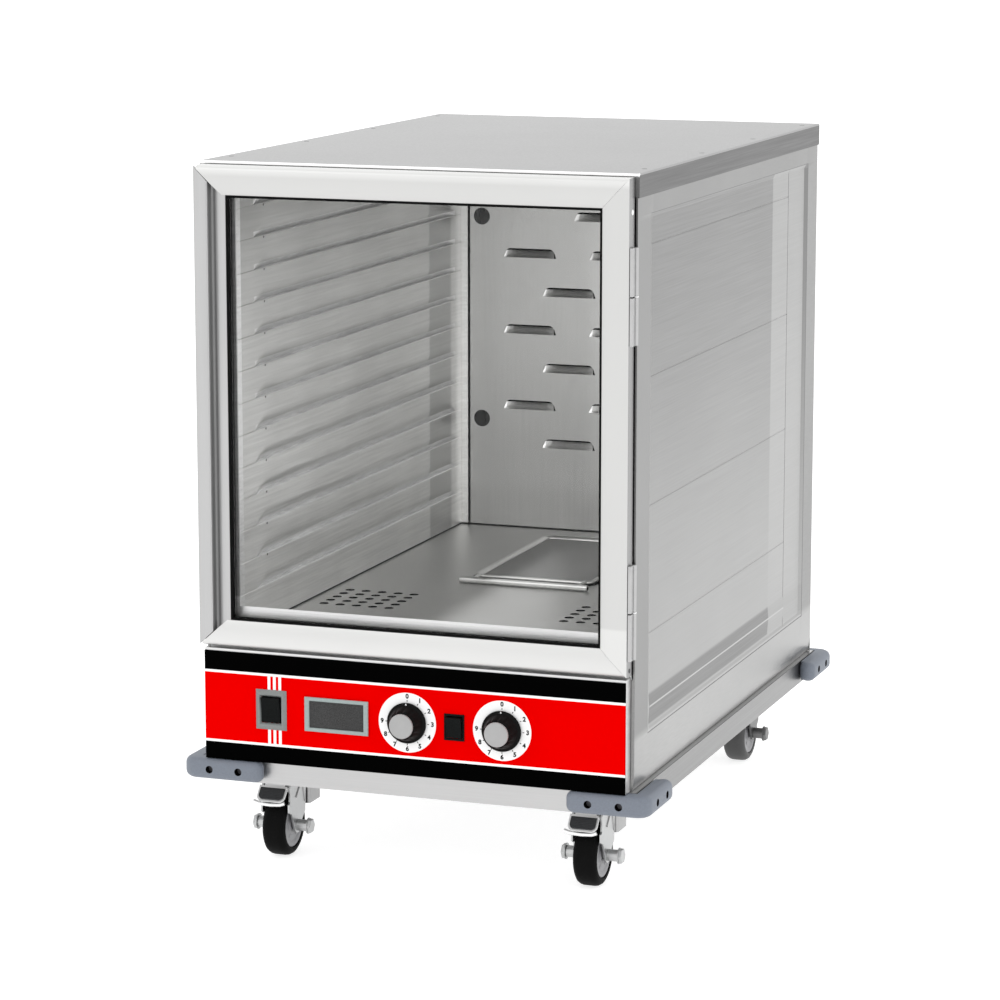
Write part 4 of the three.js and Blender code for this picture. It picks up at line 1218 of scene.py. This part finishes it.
def bumper_outline(inset):
    """The L of a bumper seen from above, drawn in by inset; its inside corner is at the origin."""
    thick, corner = BUMPER.thick, BUMPER.corner
    half = thick / 2
    end = BUMPER.arm - thick - half
    back = min(inset, 1.2)
    outline = [(back, -back), (-end, -back)]
    outline += [(x, min(y, -back)) for x, y in arc((-end, -half), half - inset, 90, 270, 12)]
    outline += arc((thick - corner, corner - thick), corner - inset, -90, 0, 10)
    outline += [(max(x, back), y) for x, y in arc((half, end), half - inset, 0, 180, 12)]
    outline += [(back, end)]
    return outline


def bumper(corner, turn):
    """A moulded corner guard with rounded edges and two screw pockets in each arm."""
    node = "bumper_" + corner
    box, base = span(node), span("base_frame")
    corner_x = base.right + 0.3 if turn in (0, 1) else base.left - 0.3
    corner_y = base.front - 0.3 if turn in (0, 3) else base.back + 0.3
    place = Matrix.Translation((corner_x, corner_y, box.bottom)) @ Matrix.Rotation(turn * math.pi / 2, 4, "Z")
    height, thick, edge = box.top - box.bottom, BUMPER.thick, BUMPER.edge
    rounding = [(edge * (1 - math.sin(a)), edge * (1 - math.cos(a))) for a in spread(0, math.pi / 2, 6)]
    steps = rounding + [(inset, height - rise) for inset, rise in reversed(rounding)]
    body = Form().loft([[(x, y, z) for x, y in bumper_outline(inset)] for inset, z in steps])
    pockets, screws = Form(), Form()
    for distance in BUMPER.holes:
        across, along_x = (thick - distance, 0, height / 2), (0, distance - thick, height / 2)
        pockets.rod("x", BUMPER.screw, thick - 8.5, thick + 1, along_x, 28, paint=1)
        screws.rod("x", 3.6, thick - 6.5, thick - 9, along_x, 20)
        pockets.rod("y", BUMPER.screw, -thick - 1, -thick + 8.5, across, 28, paint=1)
        screws.rod("y", 3.6, -thick + 6.5, -thick + 9, across, 20)
    for form in (body, pockets, screws):
        form.moved(place)
    body.piece(node + "_moulding", "cabinet", ["bumper", "hole"], "bumper_grey", [node], angle=40,
               cutters=[pockets])
    screws.piece(node + "_screws", "cabinet", "dark_screw", "bumper_grey")


# ---- Casters.


WHEEL = SimpleNamespace(radius=37.5, tread=29, hub=27, spokes=5)
CASTERS = ("front_left", "front_right", "back_left", "back_right")


def mirrored(profile):
    """A closed profile from its first half, mirrored about the middle of the wheel."""
    whole = profile + [(radius, -place) for radius, place in reversed(profile)]
    return whole + whole[:1]


def caster(end):
    """A swivel caster: bearing plate, pressed fork, bolted axle, tyre and hub."""
    stem, axle = pivot("swivel_" + end), pivot("roll_" + end)
    swivel, wheel = "swivel_" + end, "wheel_" + end
    in_front = end.startswith("front")
    caster_head(end, stem)

    looks = ["zinc", "zinc_dull"] if in_front else ["zinc_shaded", "zinc_shaded"]
    fork_form(stem, axle, span("caster_fork_" + end).top).piece(
        "caster_yoke_" + end, swivel, looks, "caster_zinc", ["caster_fork_" + end], 0.6, 35)

    half, reach, rim = WHEEL.tread / 2, WHEEL.radius, WHEEL.hub
    tread = [(rim + 0.3, -half + 1.2), (rim + 1, -half + 0.3), (rim + 4, -half)]
    tread += [(reach - 5, -half + 0.6), (reach - 2.4, -half + 2.2)]
    tread += [(reach - 0.6, -half + 5.2), (reach, -half + 8.5)]
    tyre = Form().lathe("x", mirrored(tread), axle, 72)
    tyre.piece("caster_tread_" + end, wheel, "tyre" if in_front else "tyre_grey", "caster_tyre",
               ["caster_tyre_" + end], angle=40)

    disc = [(6.2, -13), (10.5, -13), (11.5, -12), (20, -12), (21.5, -13), (rim - 1, -13.4), (rim, -12.6)]
    hub = Form().lathe("x", mirrored(disc), axle, 64)
    for side in (-1, 1):
        for k in range(WHEEL.spokes):
            angle = 2 * math.pi * k / WHEEL.spokes + 0.3
            boss = axle + 15.6 * Vector((0, math.cos(angle), math.sin(angle)))
            hub.rod("x", 2.4, side * 11.8, side * 12.6, boss, 16, 0.2)
    hub.piece("caster_disc_" + end, wheel, "hub", "caster_hub", ["caster_hub_" + end])


def caster_head(end, stem):
    """The bearing plate with its cup and four bolts."""
    node = "caster_plate_" + end
    plate = span(node)
    outline = round_box(plate.left, plate.right, plate.front, plate.back, 7)
    top = Form().prism("z", outline, plate.top - 3, plate.top)
    cup = [(21, plate.top - 3), (21, plate.top - 5), (19.5, plate.top - 8.5)]
    cup += [(17, plate.bottom + 0.4), (6, plate.bottom + 0.2)]
    top.lathe("z", cup, (stem.x, stem.y, 0), 48)
    bolt = [(5.2, plate.top - 3), (5.2, plate.top - 6.2), (4.4, plate.top - 7), (0.02, plate.top - 7)]
    for x in (-26, 26):
        for y in (-26, 26):
            top.lathe("z", bolt, (stem.x + x, stem.y + y, 0), 6)
    top.piece("caster_head_" + end, "cabinet", "zinc", "caster_zinc", [node], 0.4)


def fork_form(stem, axle, top):
    """The crown, two tapering legs with turned-in front edges, the axle bolt and the spring housing."""
    form = Form()
    x, y = stem.x, stem.y
    form.prism("z", round_box(x - 17, x + 17, y - 24, y + 24, 8), 86.5, top)
    leg = [(-38, 91), (7, 91), (8, 87), (6, 50), (-5.6, 40)] + arc((-17, 38.5), 10.5, -10, -170, 12)
    leg += [(-36, 55.5), (-39, 55.5), (-43, 58), (-43, 68), (-40, 71), (-40, 88)]
    sleeve = ((5.4, 18.6), (7, 18.7), (7, 31.4), (6.6, 31.8))
    washer = ((5, 31.7), (9.8, 31.8), (9.8, 33.2), (5, 33.3))
    head = ((4, 33.1), (9.2, 33.2), (9.2, 36.5), (8.2, 37.3), (0.02, 37.3))
    for side in (-1, 1):
        form.prism("x", [(y + a, b) for a, b in leg], x + side * 16.3, x + side * 18.7)
        for profile, sides in ((sleeve, 28), (washer, 28), (head, 6)):
            form.lathe("x", [(radius, side * out) for radius, out in profile], (x, axle.y, axle.z), sides)
    form.rod("x", 5, -17, 17, (x, axle.y, axle.z), 20)
    start = len(form.bm.faces)
    form.prism("z", round_box(x - 18, x + 18, y + 22, y + 57, 4), 54, 89.5)
    crease = ((-23, 73), (-15, 82), (-8, 87), (-2, 84), (4, 62))
    for side in (-1, 1):
        form.tube([Vector((x + side * 18.8, y + a, b)) for a, b in crease], 1.3, 8)
    form.bm.faces.ensure_lookup_table()
    for face in form.bm.faces[start:]:
        face.material_index = 1
    return form


PEDAL = SimpleNamespace(wider=4, ribs=6, pitch=2.1)
PEDAL_DOWN, PEDAL_OUT = Vector((0, -0.66, -0.751)), Vector((0, -0.751, 0.66))


def brake(side):
    """The pedal: a ribbed rubber pad on a bright steel lever that turns up at its lip."""
    node, body = "brake_pedal_" + side, "brake_" + side
    box = span(node)
    y = pivot("swivel_front_" + side).y
    left, right = box.left - PEDAL.wider, box.right
    top = Vector((0, y - 41.4, 87.1))

    def place(across, down, out):
        return Vector((across, 0, 0)) + top + PEDAL_DOWN * down + PEDAL_OUT * out

    def sheet(form, inset, low, out, thick, radius, high=0.0):
        """A flat plate lying on the pedal's slope, square above and round at its lower corners."""
        outline = [(left + inset, high), (right - inset, high)]
        outline += arc((right - inset - radius, low - radius), radius, 0, 90, 6)
        outline += arc((left + inset + radius, low - radius), radius, 90, 180, 6)
        form.loft([[place(u, v, level) for u, v in outline] for level in (out, out + thick)])

    pad = Form()
    sheet(pad, 2.4, 16.4, 1.4, 1.8, 5.5, 1.2)
    for k in range(PEDAL.ribs):
        down = 3.4 + PEDAL.pitch * k
        pad.tube([place(left + 5, down, 3.1), place(right - 5, down, 3.1)], 0.5, 8)
    pad.piece("brake_pad_" + side, body, "pedal", "pedal_black", [node], 0.5, 28)
    lever = Form()
    sheet(lever, 0, 19, 0, 1.6, 7.5, -1.5)
    sheet(lever, 0.4, 1, 1.2, 1.6, 0.4, -1.8)
    lip = ((left - 4.5, 17.4, -3.6), (left + 3, 19.4, -3.8), ((left + right) / 2, 20.4, -3.9),
           (right - 6, 19.6, -3.8), (right - 1, 17.2, -3.4))
    lever.tube([place(*point) for point in lip], 2.5, 12)
    for u in (left + 7, right - 7):
        lever.tube([place(u, 14, -0.4), place(u, 19, -3.2)], 1.2, 10)
    under = [(-26.2, 84.4), (-26.2, 88.8), (-31.6, 91), (-36.8, 90.6), (-38, 88.6), (-34, 87.4), (-31.6, 88)]
    lever.prism("x", [(y + a, b) for a, b in under], left + 5, right - 5)
    lever.piece("brake_lever_" + side, body, "seam_bright", "caster_zinc", angle=35)


# ---- Stage.


AZIMUTH, ELEVATION = math.radians(19.673), math.radians(10.263)
AIM = Vector((-0.0339, (BODY_FRONT + 381.25) * MM, 0.3886))
DISTANCE = 4.5128
LENS = 129.44


def camera():
    data = bpy.data.cameras.new("camera")
    data.lens = LENS
    data.sensor_width = 36
    data.clip_end = 200
    made = placed("camera", data)
    level = math.cos(ELEVATION)
    back = Vector((math.sin(AZIMUTH) * level, -math.cos(AZIMUTH) * level, math.sin(ELEVATION)))
    made.location = AIM + back * DISTANCE
    made.rotation_euler = back.to_track_quat("Z", "Y").to_euler()
    bpy.context.scene.camera = made


def area_light(name, place, target, size, power):
    data = bpy.data.lights.new(name, "AREA")
    data.shape = "RECTANGLE"
    data.size, data.size_y = size
    data.energy = power
    made = placed(name, data)
    made.location = place
    made.rotation_euler = (Vector(place) - Vector(target)).to_track_quat("Z", "Y").to_euler()
    made.visible_camera = False


FLOOR_REACH = 40
FLOOR_GLOW = 0.75
CHAMBER_GLOW = 0.45
SKY = (1.2, 1.25)


def studio():
    """A pale floor, a pale sky a little brighter to the right, a broad lamp and three small ones inside."""
    mesh = bpy.data.meshes.new("floor")
    corners = [(x * FLOOR_REACH, y * FLOOR_REACH, 0) for x, y in ((-1, -1), (1, -1), (1, 1), (-1, 1))]
    mesh.from_pydata(corners, [], [(0, 1, 2, 3)])
    ground = placed("floor", mesh)
    pale = finish("pale floor", 0.55, 0.8, 3, 0.005, bump=0.0, specular=0.0)
    shader = pale.node_tree.nodes["Principled BSDF"]
    shader.inputs["Emission Color"].default_value = (1, 1, 1, 1)
    shader.inputs["Emission Strength"].default_value = FLOOR_GLOW
    mesh.materials.append(pale)
    world = bpy.data.worlds.new("studio sky")
    world.use_nodes = True
    recipe = Recipe(world.node_tree)
    heading = recipe.add("SeparateXYZ", "X", {0: recipe.add("TexCoord", "Generated", {})})
    strength = recipe.remap(heading, *SKY, -1, 1)
    recipe.fill(world.node_tree.nodes["Background"], {"Color": (1, 1, 1, 1), "Strength": strength})
    bpy.context.scene.world = world
    area_light("key", (-2.6, -3.0, 3.2), (0, 0, 0.5), (2.4, 2.4), 10)
    box = span("inner_floor")
    middle = (BODY_FRONT + (box.front + box.back) / 2) * MM
    area_light("chamber_left", (0.05, middle, 0.51), (-1, middle, 0.51), (0.55, 0.4), CHAMBER_GLOW)
    area_light("chamber_right", (-0.05, middle, 0.51), (1, middle, 0.51), (0.55, 0.4), CHAMBER_GLOW)
    front = (BODY_FRONT + box.front + 30) * MM
    area_light("chamber_back", (0.03, front, 0.62), (0.03, 0.6, 0.3), (0.4, 0.3), CHAMBER_GLOW)
    bpy.context.scene.view_settings.view_transform = "Standard"


# ---- The cabinet.


KEPT = {
    "base_frame": ("base_steel", 1.0),
    "back_panel": ("cabinet_steel", 0.3),
    "front_frame": ("frame_steel", 0.3),
    "control_box": ("box_steel", 0.8),
    "inner_ceiling": ("liner_steel", 0.3),
    "air_heater": ("heater", 0),
    "water_heater": ("heater", 0.5),
    "fan_motor": ("motor", 0.8),
    "fan_wheel": ("zinc_dull", 0),
    "door_glass": ("pane", 0),
    "door_seal": ("hub", 0.4),
    "power_inlet": ("switch", 0.8),
}

steel_looks()
fitting_looks()
plain_looks()
camera()
studio()
for node, (name, bevel) in KEPT.items():
    keep(node, name, bevel)
side_panel(-1, "left_side_panel")
side_panel(1, "right_side_panel")
lid()
back_details()
rack(-1, "left_rack")
rack(1, "right_rack")
inner_floor()
duct_panel()
water_pan()
door()
hinge("upper")
hinge("lower")
controls()
for turn, corner in enumerate(BUMPER_CORNERS):
    bumper(corner, turn)
for end in CASTERS:
    caster(end)
for side in ("left", "right"):
    brake(side)
